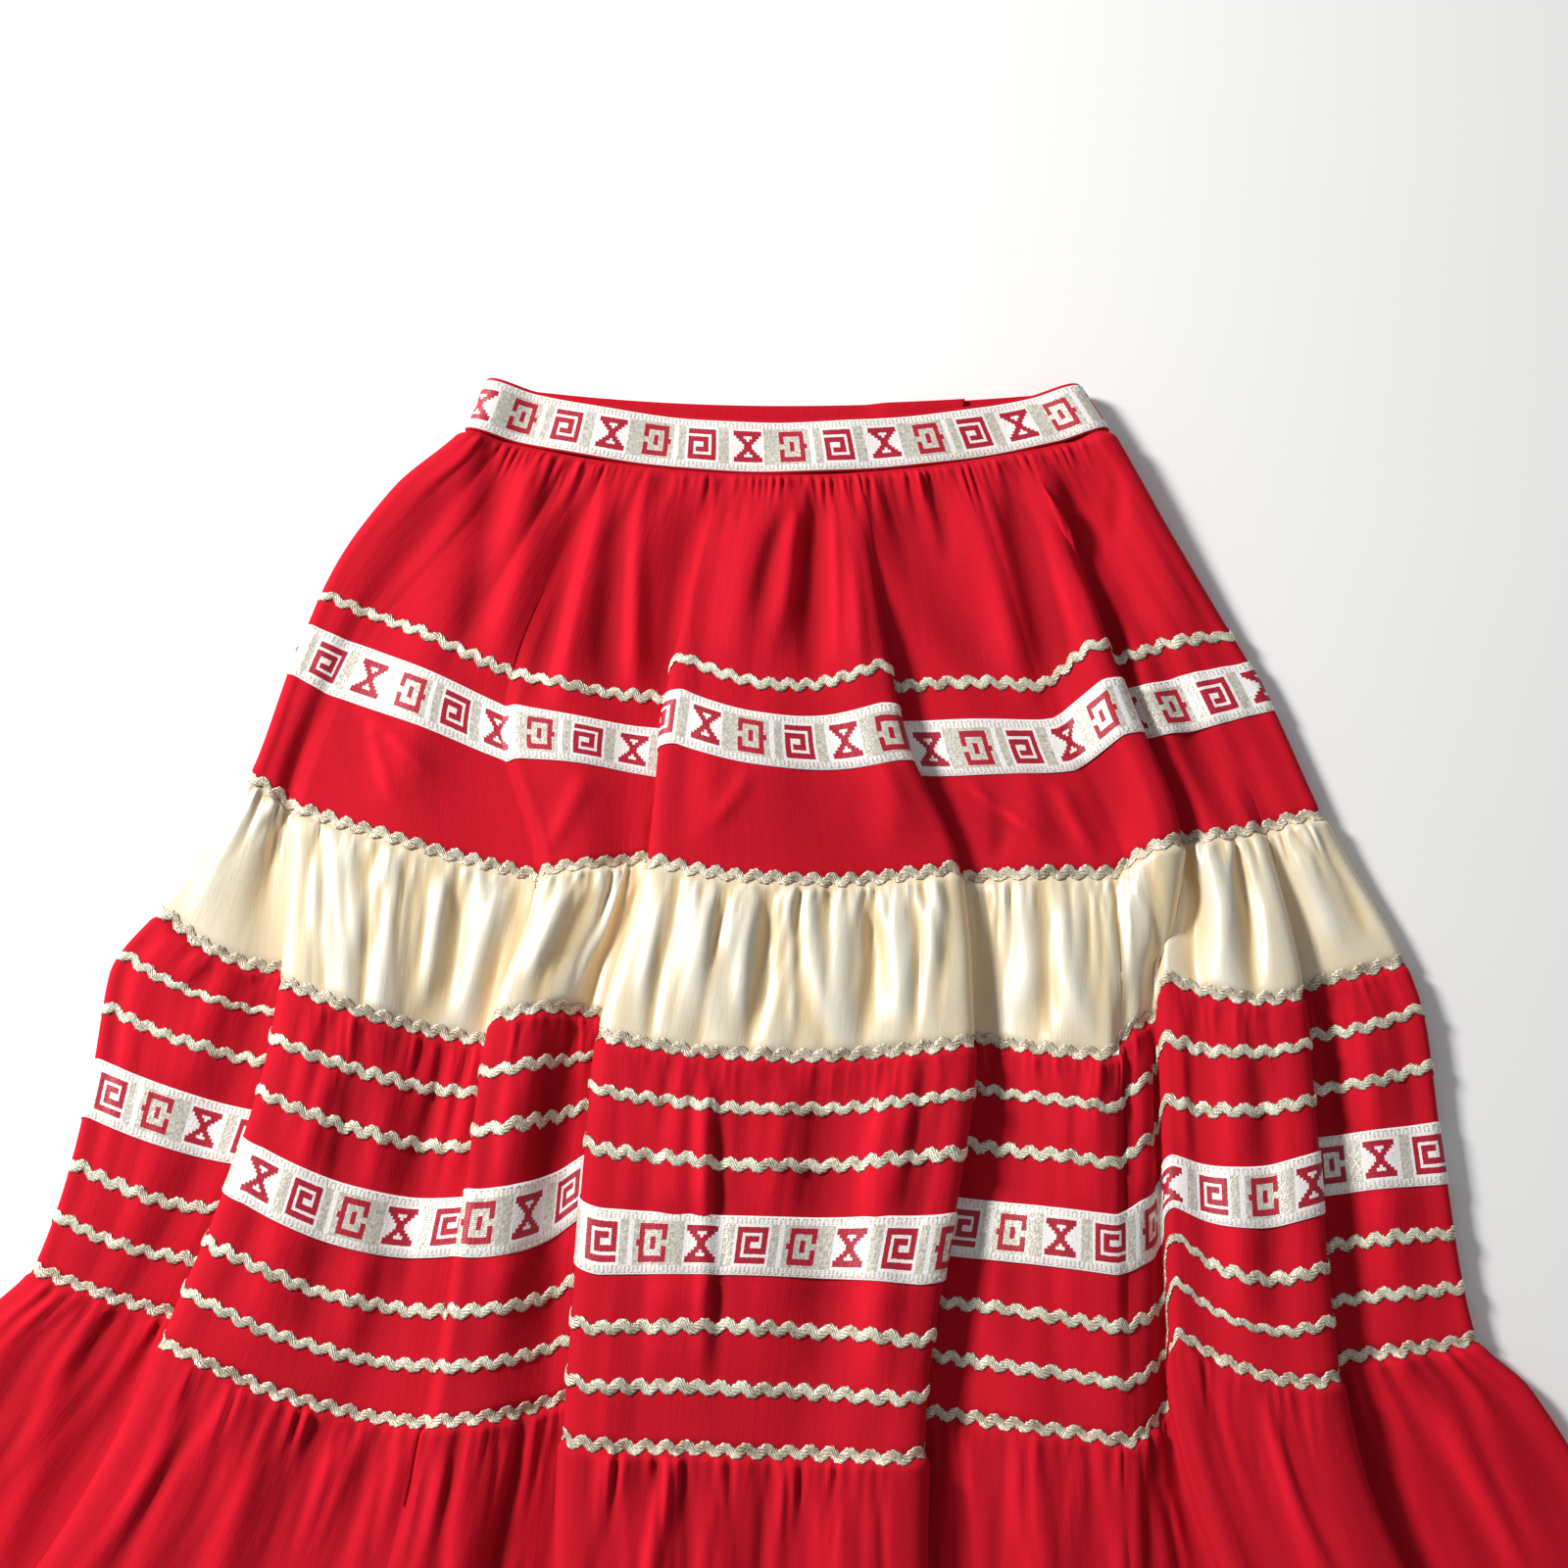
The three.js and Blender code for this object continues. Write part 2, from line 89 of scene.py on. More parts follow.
def curves(text):
    """The heights named in a table's first row, and a dictionary for each name in its first
    column, which holds the values at those heights of each curve named in its second."""
    head, *rows = rows_of(text)
    found = {}
    for name, curve, *values in rows:
        found.setdefault(name, {})[curve] = [float(value) for value in values]
    return [float(height) for height in head[2:]], list(found.values())


# Where the drawing's origin lies in the frame
DRAWING_SHIFT = np.array([17.5, 134.0, 0.0])

# Folds of the front, left to right, with a value for each level. x is the visible edge,
# rise is how far the cloth steps up to the right, and crest lifts both sides of a ridge.
LEVEL_ROWS, FOLDS = curves("""
fold         curve  -28    0  136  198  278  445  610
far_left     x     -120 -128 -205 -226 -228 -272 -345
far_left     rise     0    0    0    3   14   16   16
far_left     crest    0    0    2    0    0    0    0
left         x      -80  -86 -128 -110 -131 -153 -190
left         rise     0    0    3    4   13    4    0
left         crest    0    0    2    2    1    9   12
middle_left  x      -32  -34  -56  -62  -83  -95 -104
middle_left  rise     0    0   14   12   15   17   17
middle_left  crest    0    0    0    0    0    0    0
middle_right x       32   34   55   80   85   60   62
middle_right rise     0    0  -14   -9  -15  -17  -17
middle_right crest    0    0    0    0    0    0    0
ridge        x       80   86  128  150  149  149  152
ridge        rise     0    0    0    0   -4    0    0
ridge        crest    0    0    2    5    7   10   12
right        x      104  112  162  182  173  172  215
right        rise     0    0  -15  -15    6    8   12
right        crest    0    0    0    0    1    0    0
far_right    x      122  132  196  219  235  242  300
far_right    rise     0    0    2   -4  -14  -16  -16
far_right    crest    0    0    3    2    0    0    0
""")

# How the whole tube lies at each level: height of the row at its left, middle and right,
# how high the front lies, and how much further up the back lies
ROW_LEFT = [201, 174, 64, 0, -65, -226, -350]
ROW_MIDDLE = [180, 152, 16, -49, -133, -301, -462]
ROW_RIGHT = [198, 174, 46, -17, -87, -257, -400]
LOFT = [9, 9, 3, 3, 3, 3, 3]
BACK_UP = [10.5, 11, 4, 0, 0, 0, 0]

# The skirt's side edges at each height
EDGE_ROWS = [-28, 0, 36, 80, 136, 198, 278, 312, 360, 445, 470, 610]
EDGE_LEFT = [-144, -154, -186, -210, -230, -250, -288, -308, -314, -334, -354, -430]
EDGE_RIGHT = [143, 157, 174, 197, 225, 250, 284, 292, 296, 306, 328, 395]

# Panels between the folds, left to right: the height of a soft ridge, where across the panel
# it is, and how many columns of the mesh the panel has
PANELS = table("""
swell   at columns
    2  0.5      40
    4 0.45      66
    3  0.4      42
    5 0.42     104
    3  0.5      54
    2  0.5      20
    5  0.5      44
    2  0.5      38
""")

# How far each panel's rows lie above the plain arc at its left, middle and right
DIP_ROWS, DIPS = curves("""
panel at     -28 0 108 136 198 278 315 363 400 445 610
a     start    0 0   3   0   1   2   6   4   3   1   0
a     middle   0 0   3  -1  -2  -5   5   6   2   3   2
a     end      0 0   3  -1  -5   2  12  10  10   7   6
b     start    0 0   3  -1  -5  -8  -6  -6  -9  -8  -8
b     middle   0 0  -1  -3  -6  -8  -7 -11 -13 -12 -10
b     end      0 0  -7  -9  -7  -4  -2  -2  -8  -8 -12
c     start    0 0  -7  -7  -4   7   7  -1  -7  -7 -12
c     middle   0 0  -8  -5   3  16  17   9   2   3   0
c     end      0 0  -6  -6  10  16  28  30  19  16   8
d     start    0 0  10  10   4   4   6   0  -5  -6  -6
d     middle   0 0  -1   0  -1   1   3   3   0  -4  -6
d     end      0 0   7   2   2   3   6  -1  -7  -8  -8
e     start    0 0   0  -2  -1  10  13  11  12  13   4
e     middle   0 0  -1  -6  -3  -2   3   3   3   3  -4
e     end      0 0  -7  -9  -8 -10  -8  -7 -10  -9 -12
f     start    0 0  -7  -9  -8  -3  -5  -6 -10 -10 -12
f     middle   0 0  -1  -4  -3   3   2  -2  -6  -4  -3
f     end      0 0   4   2   0   5   6   4  -1   3   6
g     start    0 0   2   2   7  21  17  15  27  32  10
g     middle   0 0  -1   0   1   6   6   3   3  11   3
g     end      0 0   1   0   0  -2   2   1  -2   0  -4
h     start    0 0   0   0   0   4   9  10   9   9   4
h     middle   0 0  -1   0   1   2   3   6   5   5   2
h     end      0 0  -3   0   0   1   3   0  -1   1   0
""")

FOLD_REACH = 3.0  # from the middle of a fold to where it starts and ends
TURN_RADIUS = 2.7  # how tightly a lapped fold turns
CLEAR_RISE = 5.0  # a fold with this rise or more laps fully
FULL_FOLD = 14.0  # the rise at which a fold turns as sharply as it can
FULL_FOLD_EASE = 0.8  # and how sharply that is
SIDE_CREST = 5.0  # how much higher the front lies at the tube's sides
FALL = 0.8  # share of a panel over which its raised edges come down
SWELL_REACH = 0.4  # share of a panel from its soft ridge to the ridge's foot
SWELL_DOWN = 136.0  # how far down the soft ridges have their whole height
BACK_LEVEL = 1.4  # height of the back's cloth, which leaves room for the trims under it
BACK_RELIEF = 0.35  # the most that the back's creases go in
FRONT_LOW = 2.4  # the lowest that the front's creases go
FRONT_LIFT = 1.2  # how far the front puffs up, so that its creases have room

# Places round the tube, and the columns of the mesh at its folds, sides and back
LEFT_SIDE = 0
RIGHT_SIDE = 2 * len(PANELS)
BACK = RIGHT_SIDE + 1
ROUND = BACK + 1
FOLD_COLUMNS = 20
SIDE_COLUMNS = 12
BACK_COLUMNS = 84

# Steps to the neighbours from which the slope of the cloth is taken
NEAR_DOWN = 0.6
NEAR_PLACE = 0.004

# The four tiers, each with the height of its puff below its seam
TIERS = [
    {"name": "tier_1_gathered", "node": "tier_1_red", "top": 0, "foot": 198, "rows": 62, "puff": 1.5},
    {"name": "tier_2_satin", "node": "tier_2_cream", "top": 198, "foot": 278, "rows": 32, "puff": 1.4},
    {"name": "tier_3_gathered", "node": "tier_3_red", "top": 278, "foot": 445, "rows": 52, "puff": 1.0},
    {"name": "tier_4_gathered", "node": "tier_4_red", "top": 445, "foot": 610, "rows": 44, "puff": 1.6},
]

# Gathers of each tier, finest first: the usual distance from one to the next, their height
# and how far below the seam they have faded away
GATHERS = table("""
tier pitch height reach seed
   0   4.4      1    22   11
   0   7.5    0.8    46   12
   0    20    1.1   240   13
   1     4    0.9    30   21
   1     9      1    90   22
   1    20    1.6   200   23
   2   4.6    0.8    34   31
   2    10      1   110   32
   2    26    1.3   400   33
   3   4.4    0.9    40   41
   3     9    1.2   150   42
   3    25    1.5   400   43
""")
GATHER_WAVES = 9
SEAM_DEPTH = 3.0  # how far below a seam its gathers are spaced out
SEAM_EASE = 5.0  # how far from a seam the cloth has its whole relief
SEAM_SINK = 0.3  # how far a seam draws the cloth in
PUFF_FADE = 60.0  # how far below a seam the puff ends

# The main creases, placed one by one: x and down at the top, middle and foot of each, its
# half width and its height, which is negative in a trough
CREASES = table("""
top_x mid_x foot_x top mid foot width height
# Tier 1, fanning out from the waist, ridges and troughs by turns
 -146  -156   -182   2  45  112    11    3.6
 -134  -143   -152   8  58  116     7   -3.2
 -121  -125   -143   2  52  126    10      4
  -91  -103   -124   4  58  130     8   -4.4
  -82   -96   -108   2  50  130     6      4
  -70   -80    -86   6  45  122     7   -4.2
  -63   -72    -70   2  45  126     6      4
  -39   -46    -55   3  42  124     9   -3.4
   -4   -18    -25   3  50  116    12    3.6
    3    -7    -14  14  45   82     4     -2
    9     3    -10   3  50  104     6    3.1
   17    12     14   3  42  120     7     -5
   23    24     26   2  40  108     3    1.6
   32    35     39   2  50  126     9      4
   55    66     92   3  45  114    11     -5
   68    76     78   3  26   54     4   -2.4
   91   102    113   2  50  128    10    4.3
   98   115    134   3  50  128     7   -4.2
  117   131    149   2  50  126     8    5.2
  139   150    166   3  50  120    11   -5.6
  121   138    154  12  66  134     5    5.5
  131   148    166  16  70  136     6   -6.5
  150   160    156   4  28   62     4   -2.2
  160   176    195   3  50  124    11    3.6
  168   190    204 110 150  196    10   -3.6
 -196  -190   -180 150 166  186     4    1.8
 -206  -184   -160 146 158  172     5    2.2
  -14   -22    -34 148 162  180     4      2
   84   100    124 150 166  186     4    2.4
  -92   -99   -110 150 168  192     5      2
  -40   -36    -38 118 160  197     9    2.6
   46    50     48 116 158  197    10    2.4
   92   101     99 152 170  194     4     -2
  126   133    144 150 170  194     5    2.4
  140   150    158 118 160  197     8   -2.2
 -150  -172   -190 112 150  196    12    2.2
  -20   -14    -18 112 150  196    16      2
  100   112    118 112 150  196     9    2.4
# Tier 2, where the satin's gathers run on into long soft folds
 -246  -262   -276 200 236  276     8    1.8
 -232  -240   -246 202 236  270     6     -1
 -203  -212   -208 200 236  272     7    2.8
 -181  -192   -196 200 232  262     5    2.6
 -157  -160   -168 200 240  277     4    2.6
 -148  -150   -156 202 240  274     4   -2.4
 -126  -139   -148 200 238  277     6      3
  -93  -108   -120 200 235  268     7    3.2
  -84   -96   -104 206 240  270     5   -2.4
  -70   -81    -90 200 232  258     5    2.6
  -54   -62    -70 200 232  268     5    2.4
  -40   -36    -37 200 232  277     8    3.4
  -25   -24    -26 200 220  240     4      2
  -12   -17    -20 200 230  270   4.5    2.8
   -6    -7    -15 204 240  276   3.5   -2.8
    1     4      4 200 238  278   2.4      2
    9    13     24 200 236  276   4.5    2.8
   25    22     30 200 238  276     7    3.2
   41    42     41 210 238  270     5   -2.8
   45    51     53 200 236  272     4    2.2
   57    66     70 200 222  250     4    2.6
   69    80     77 200 236  272     5      3
  112   117    108 200 230  268     8    3.2
  122   121    121 208 240  276     4   -2.4
  129   130    140 200 238  278     7    3.4
  160   158    152 200 232  272     5    2.6
  200   203    199 200 236  276     5    2.8
  210   214    214 200 236  274     5   -2.4
  232   246    258 200 238  276     6    2.6
  243   262    272 202 238  270     4     -2
# Tiers 3 and 4, soft vertical bands down each panel
 -262  -280   -300 280 350  440     9    2.4
 -206  -218   -236 280 350  440     9    2.6
 -190  -200   -214 282 350  440     6   -2.2
 -172  -184   -196 280 352  442     7    2.4
 -154  -164   -172 280 340  400     5     -2
 -116  -124   -128 280 340  430     8    2.6
 -104  -108   -110 284 330  400     5   -2.2
  -58   -56    -62 280 350  440     9    2.6
  -46   -45    -47 280 350  440    13    2.6
  -36   -35    -37 282 350  430     4      3
  -29   -28    -30 284 350  426     3   -2.8
   -6   -10    -14 280 350  440    12    1.2
   17    16     15 280 350  440     9   -3.6
   43    41     39 280 350  440    10    4.4
   66    62     54 284 350  430     8     -3
  110   104    100 280 350  440     7   -2.6
  128   124    124 280 345  430     8    2.2
  198   200    200 280 350  440     8    2.6
  212   215    216 284 350  430     6   -2.4
  256   266    272 280 350  440     8    2.4
 -372  -384   -400 450 530  606     8      3
 -310  -330   -352 450 530  606     9      3
 -226  -244   -262 450 530  606     9    3.2
 -140  -146   -150 450 530  606     8      3
  -58   -62    -64 450 530  606     9    3.2
  -10   -12    -10 450 530  606     8   -2.6
   26    24     26 450 530  606     9    3.2
  104   110    112 450 530  606     8      3
  206   232    252 450 530  606     9      3
  280   310    344 450 530  606     8    2.8
""")

# Rows of trim round the tiers: how far down the middle of each lies
RIBBONS = [
    {"node": "ribbon_tier_1", "down": 136, "turned": False, "start": 9},
    {"node": "ribbon_tier_3", "down": 363, "turned": True, "start": 14},
]
RICKRACK = {
    "rickrack_tier_1": 108,
    "rickrack_seam_1_2": 197.4,
    "rickrack_seam_2_3": 277.4,
    "rickrack_tier_3_first": 302.8,
    "rickrack_tier_3_second": 328,
    "rickrack_tier_3_third": 396,
    "rickrack_tier_3_fourth": 420,
    "rickrack_seam_3_4": 444.4,
}
RICKRACK_STEPS = 16  # columns to a wave of rickrack
STRANDS = 4  # turns of its strands at its edge to a wave

# How far the inner face of each layer lies off the cloth's plain surface
CLOTH_LIFT = 0.25
RIBBON_LIFT = 0.45
BRAID_LIFT = 0.4
RIBBON_COLUMN = 1.8  # length of a column of ribbon
RIBBON_ROWS = 8

# The waistband runs from its inner end, lapped inside the back, round to its outer end
BAND = {"top": -28.0, "foot": 0.0, "inner_end": 88.0, "outer_end": 56.0,
        "climb": 14.0, "lap_height": 2.2, "thick": 1.3, "ribbon": -13.6}
BAND_PARTS = 5
BAND_COLUMNS = 420
BAND_RIBBON_COLUMNS = 400
BAND_RIBBON_LIFT = BAND["thick"] / 2 + 0.1

HEM_DEPTH = 9.0
HEM_TOP = TIERS[-1]["foot"] - HEM_DEPTH
HEM_STITCHES = HEM_TOP + 2.5
HEM_RISE = 0.5  # how much higher the cloth is where the hem is folded under it

# Woven motifs of the ribbon, twelve rows of eleven cells, R where the red thread lies on top
MOTIF_BOX = """
RRRRRRRRRR.
RRRRRRRRRR.
RR......RR.
RR......RR.
RR..RR..RR.
....RR..RRR
....RR..RRR
RR..RR..RR.
RR......RR.
RR......RR.
RRRRRRRRRR.
RRRRRRRRRR.
""".split()
MOTIF_KEY = """
RRRRRRRRRRR
RRRRRRRRRRR
.........RR
RRRRRRRR.RR
RRRRRRRR.RR
RR....RR.RR
RR....RR.RR
RR.RRRRR.RR
RR.RRRRR.RR
RR.......RR
RRRRRRRRRRR
RRRRRRRRRRR
""".split()
MOTIF_HOURGLASS = """
RRRRRRRRRRR
RRRRRRRRRRR
.RRR...RRR.
..RRR.RRR..
...RRRRR...
....RRR....
....RRR....
...RRRRR...
..RRR.RRR..
.RRR...RRR.
RRRRRRRRRRR
RRRRRRRRRRR
""".split()
MOTIF_ROWS = 12
MOTIF_MARGINS = ("...", "....")
# Cells of the repeat whose ground is silver: behind the box, and bars by the others
SILVER_CELLS = "RRRRRRRRRRRRRRR..RRR.............RRRR..............RRR"
CHART_CELLS = len(SILVER_CELLS)


# Curves and small formulas

def smooth(share):
    """The ease 3s^2 - 2s^3 of a share held between 0 and 1."""
    share = np.clip(share, 0.0, 1.0)
    return share * share * (3.0 - 2.0 * share)


def eased(rows, values, at):
    """A smooth curve through a table: a cubic between each pair of rows. Its slope at a row
    is the harmonic mean of the slopes beside it, or level where they differ in sign."""
    rows = np.asarray(rows, float)
    values = np.asarray(values, float)
    slopes = np.diff(values) / np.diff(rows)
    before, after = slopes[:-1], slopes[1:]
    same = before * after > 0
    mean = 2.0 * before * after / np.where(same, before + after, 1.0)
    tangents = np.concatenate([slopes[:1], np.where(same, mean, 0.0), slopes[-1:]])
    index = np.clip(np.searchsorted(rows, at) - 1, 0, len(rows) - 2)
    width = rows[index + 1] - rows[index]
    s = (at - rows[index]) / width
    return (values[index] * (2 * s**3 - 3 * s**2 + 1)
            + tangents[index] * width * (s**3 - 2 * s**2 + s)
            + values[index + 1] * (3 * s**2 - 2 * s**3)
            + tangents[index + 1] * width * (s**3 - s**2))


def at_level(values, down):
    return eased(LEVEL_ROWS, values, down)


def left_edge(down):
    return eased(EDGE_ROWS, EDGE_LEFT, down)


def right_edge(down):
    return eased(EDGE_ROWS, EDGE_RIGHT, down)


def to_edge(x, down):
    """Share of the way from the middle to the edge on its side, squared."""
    return (x / np.where(x < 0, left_edge(down), right_edge(down))) ** 2


def dip_of(dips, share, down):
    """The parabola across a panel through its start, middle and end dips."""
    start, middle, end = (eased(DIP_ROWS, dips[at], down) for at in ("start", "middle", "end"))
    return (start * (1 - share) * (1 - 2 * share) + 4 * middle * share * (1 - share)
            + end * share * (2 * share - 1))


def row_height(x, down):
    """The plain arc of a row: a parabola on each side, from its middle to its edge."""
    middle = at_level(ROW_MIDDLE, down)
    edge = np.where(x < 0, at_level(ROW_LEFT, down), at_level(ROW_RIGHT, down))
    return middle + (edge - middle) * to_edge(x, down)


def back_height(x, down):
    """The arc of the back's row, which lies further up, most of all at its middle."""
    return row_height(x, down) + at_level(BACK_UP, down) * (1 - to_edge(x, down))


def side_radius(down):
    """Half the height of the tube's sides."""
    return (at_level(LOFT, down) + SIDE_CREST - BACK_LEVEL) / 2


def fold_at(fold, down):
    """A fold at some height: where it starts and ends, how far it laps, and its heights."""
    rise = at_level(fold["rise"], down)
    crest = at_level(fold["crest"], down)
    ease = FULL_FOLD_EASE * smooth(np.abs(rise) / FULL_FOLD)
    lap = (rise * (1 + ease) / (2 * math.pi)) ** 2 / TURN_RADIUS
    lean = np.clip(rise / CLEAR_RISE, -1, 1)
    centre = at_level(fold["x"], down) + lean * (lap - 0.5 * FOLD_REACH)
    return {
        "rise": rise, "ease": ease, "lap": lap, "centre": centre,
        "start": centre - FOLD_REACH, "end": centre + FOLD_REACH,
        "start_height": crest + np.maximum(0, -rise),
        "end_height": crest + np.maximum(0, rise),
    }


# The lay of the cloth

def panel_points(index, share, down):
    """A panel runs evenly across between its folds. Its height is the loft, plus what is
    left of each raised edge, plus a soft swell."""
    panel = PANELS[index]
    radius = side_radius(down)
    if index == 0:
        start, start_height = left_edge(down) + radius, SIDE_CREST
    else:
        fold = fold_at(FOLDS[index - 1], down)
        start, start_height = fold["end"], fold["end_height"]
    if index == len(PANELS) - 1:
        end, end_height = right_edge(down) - radius, SIDE_CREST
    else:
        fold = fold_at(FOLDS[index], down)
        end, end_height = fold["start"], fold["start_height"]
    x = start + (end - start) * share
    near = smooth(1 - np.abs(share - panel["at"]) / SWELL_REACH)
    swell = panel["swell"] * near * np.clip(down / SWELL_DOWN, 0, 1)
    z = (at_level(LOFT, down) + start_height * smooth(1 - share / FALL)
         + end_height * smooth(1 - (1 - share) / FALL) + swell)
    return x, row_height(x, down) + dip_of(DIPS[index], share, down), z


def fold_points(index, share, down):
    """A fold turns in an S: x runs on evenly and swings back by the lap times a sine, while
    z climbs from one layer to the other, faster at the two turns."""
    turn = 2 * share - 1
    fold = fold_at(FOLDS[index], down)
    x = fold["centre"] + FOLD_REACH * turn - fold["lap"] * np.sin(math.pi * turn)
    climb = (turn + 1 - fold["ease"] * np.sin(2 * math.pi * turn) / (2 * math.pi)) / 2
    z = at_level(LOFT, down) + fold["start_height"] * (1 - climb) + fold["end_height"] * climb
    left = dip_of(DIPS[index], 1.0, down)
    right = dip_of(DIPS[index + 1], 0.0, down)
    return x, row_height(x, down) + left + (right - left) * smooth(share), z


def side_points(is_left, share, down):
    """A side is a half circle between the back and the front, round the tube's edge."""
    inward = 1 if is_left else -1
    angle = math.pi * (share - 0.5) * inward
    radius = side_radius(down)
    edge = left_edge(down) if is_left else right_edge(down)
    x = edge + inward * radius * (1 - np.cos(angle))
    under = (1 - np.sin(angle)) / 2
    dip = dip_of(DIPS[0], 0.0, down) if is_left else dip_of(DIPS[-1], 1.0, down)
    y = (row_height(x, down) + dip) * (1 - under) + back_height(x, down) * under
    return x, y, BACK_LEVEL + radius * (1 + np.sin(angle))


def back_points(share, down):
    """The back lies level, from the right side to the left."""
    radius = side_radius(down)
    right = right_edge(down) - radius
    x = right + (left_edge(down) + radius - right) * share
    return x, back_height(x, down), np.full_like(x, BACK_LEVEL)


def floats(*values):
    """Arrays of floats, all of one shape."""
    return np.broadcast_arrays(*(np.asarray(value, float) for value in values))


def lay(place, down):
    """The point of the plain cloth at each place and down, in mm of the drawing."""
    place, down = floats(place, down)
    place = place % ROUND
    part = np.floor(place).astype(int)
    share = place - part
    points = np.empty(place.shape + (3,))
    for index in np.unique(part):
        here = part == index
        s, d = share[here], down[here]
        if index in (LEFT_SIDE, RIGHT_SIDE):
            found = side_points(index == LEFT_SIDE, s, d)
        elif index == BACK:
            found = back_points(s, d)
        elif index % 2:
            found = panel_points((index - 1) // 2, s, d)
        else:
            found = fold_points(index // 2 - 1, s, d)
        points[here] = np.stack(found, axis=-1)
    return points


def unit(vectors):
    return vectors / np.linalg.norm(vectors, axis=-1, keepdims=True)


def outward(place, down):
    """The direction square to the plain cloth, out of the tube: the cross product of the
    steps down the skirt and round it."""
    below = lay(place, down + NEAR_DOWN) - lay(place, down - NEAR_DOWN)
    across = lay(place + NEAR_PLACE, down) - lay(place - NEAR_PLACE, down)
    return unit(np.cross(below, across))


class Run:
    """How far along a row of points each of their places is, in mm."""

    def __init__(self, places, points):
        self.places = places
        steps = np.linalg.norm(np.diff(points, axis=0), axis=1)
        self.lengths = np.concatenate([[0.0], np.cumsum(steps)])
        self.total = self.lengths[-1]

    def of(self, place):
        return np.interp(place, self.places, self.lengths)

    def place(self, length):
        return np.interp(length, self.lengths, self.places)


def tube_run(down):
    """The run round the tube at one height."""
    places = np.linspace(0, ROUND, 7201)
    return Run(places, lay(np.minimum(places, ROUND - 1e-6), down))


# Gathers and creases

def gather_waves(kind):
    """The waves whose sum gathers the cloth: length, slant and start of each."""
    random = np.random.default_rng(int(kind["seed"]))
    return np.stack([
        kind["pitch"] * random.uniform(1.3, 4.0, GATHER_WAVES),
        random.normal(0, 0.11, GATHER_WAVES),
        random.uniform(0, 2 * math.pi, GATHER_WAVES),
    ], axis=-1)


def gather_relief(index, run, depth):
    """Rounded ridges between narrow troughs, which wander and branch. Each kind is the size
    of a sum of waves that run nearly straight down the cloth. It grows in the first few
    millimetres below the seam, fades over its reach, and is taller and longer in patches."""
    relief = np.zeros(run.shape)
    for kind in GATHERS:
        if kind["tier"] != index:
            continue
        total = np.zeros(run.shape)
        for length, slant, start in kind["waves"]:
            total += np.sin(2 * math.pi * (run + slant * depth) / length + start)
        ridge = np.sqrt(2 / GATHER_WAVES * total**2 + 0.02) - 0.8
        grow = 0.2 + 0.8 * smooth(depth / (0.9 * kind["pitch"]))
        turns = run / kind["pitch"]
        patch = np.sin(turns / 2.7 + kind["seed"]) * np.sin(turns / 1.3)
        height = kind["height"] * (1 + 0.4 * patch)
        reach = kind["reach"] * (1 + 0.45 * patch)
        relief += height * ridge * grow * smooth(1 - depth / reach)
    return relief


def crease_relief(x, down):
    """Sum of the main creases. Each is a bell across its path, a smooth curve through three
    points, and swells from nothing at its top and foot."""
    relief = np.zeros(x.shape)
    for crease in CREASES:
        top, middle, foot = crease["top"], crease["mid"], crease["foot"]
        near = (down > top) & (down < foot)
        if not near.any():
            continue
        path_x = [crease["top_x"], crease["mid_x"], crease["foot_x"]]
        path = eased([top, middle, foot], path_x, down[near])
        share = (down[near] - top) / (foot - top)
        body = smooth(share / 0.3) * smooth((1 - share) / 0.35)
        relief[near] += crease["height"] * body * np.exp(-((x[near] - path) / crease["width"]) ** 2)
    return relief


def ripple(run, down):
    """Slow uneven waves, so that no stretch of cloth is quite flat."""
    return (0.5 * np.sin(run / 19 + 1.4 * np.sin(down / 37))
            + 0.4 * np.sin(run / 31 - down / 43 + 0.8)
            + 0.25 * np.sin(down / 11 + 2.0 * np.sin(run / 47)))


def loose(place, down, run_map):
    """How free the cloth is to crease: 1 on a panel, less at a lapped fold and a side."""
    part = np.floor(place % ROUND).astype(int)
    share = place % ROUND - part
    edges = run_map.of(np.arange(ROUND + 1))
    run = run_map.of(place % ROUND)
    to_edge = np.minimum(run - edges[part], edges[part + 1] - run)
    lapped = np.ones(place.shape)
    beside = np.where(share < 0.5, part // 2 - 1, part // 2)
    is_panel = (part % 2 == 1) & (part != BACK)
    for index, fold in enumerate(FOLDS):
        here = (part == 2 * index + 2) | (is_panel & (beside == index))
        lapped[here] = smooth(np.abs(at_level(fold["rise"], down[here])) / 8)
    distance = np.where(is_panel, to_edge, 0.0)
    return 1 - 0.7 * lapped * (1 - smooth(distance / 8))


def held_flat(down):
    """How far the trims let the gathers stand: little under a ribbon, more at a rickrack."""
    free = np.ones(down.shape)
    for ribbon in RIBBONS:
        free *= 1 - 0.6 * smooth((17 - np.abs(down - ribbon["down"])) / 5)
    for row in RICKRACK.values():
        free *= 1 - 0.3 * smooth((6 - np.abs(down - row)) / 4)
    return free


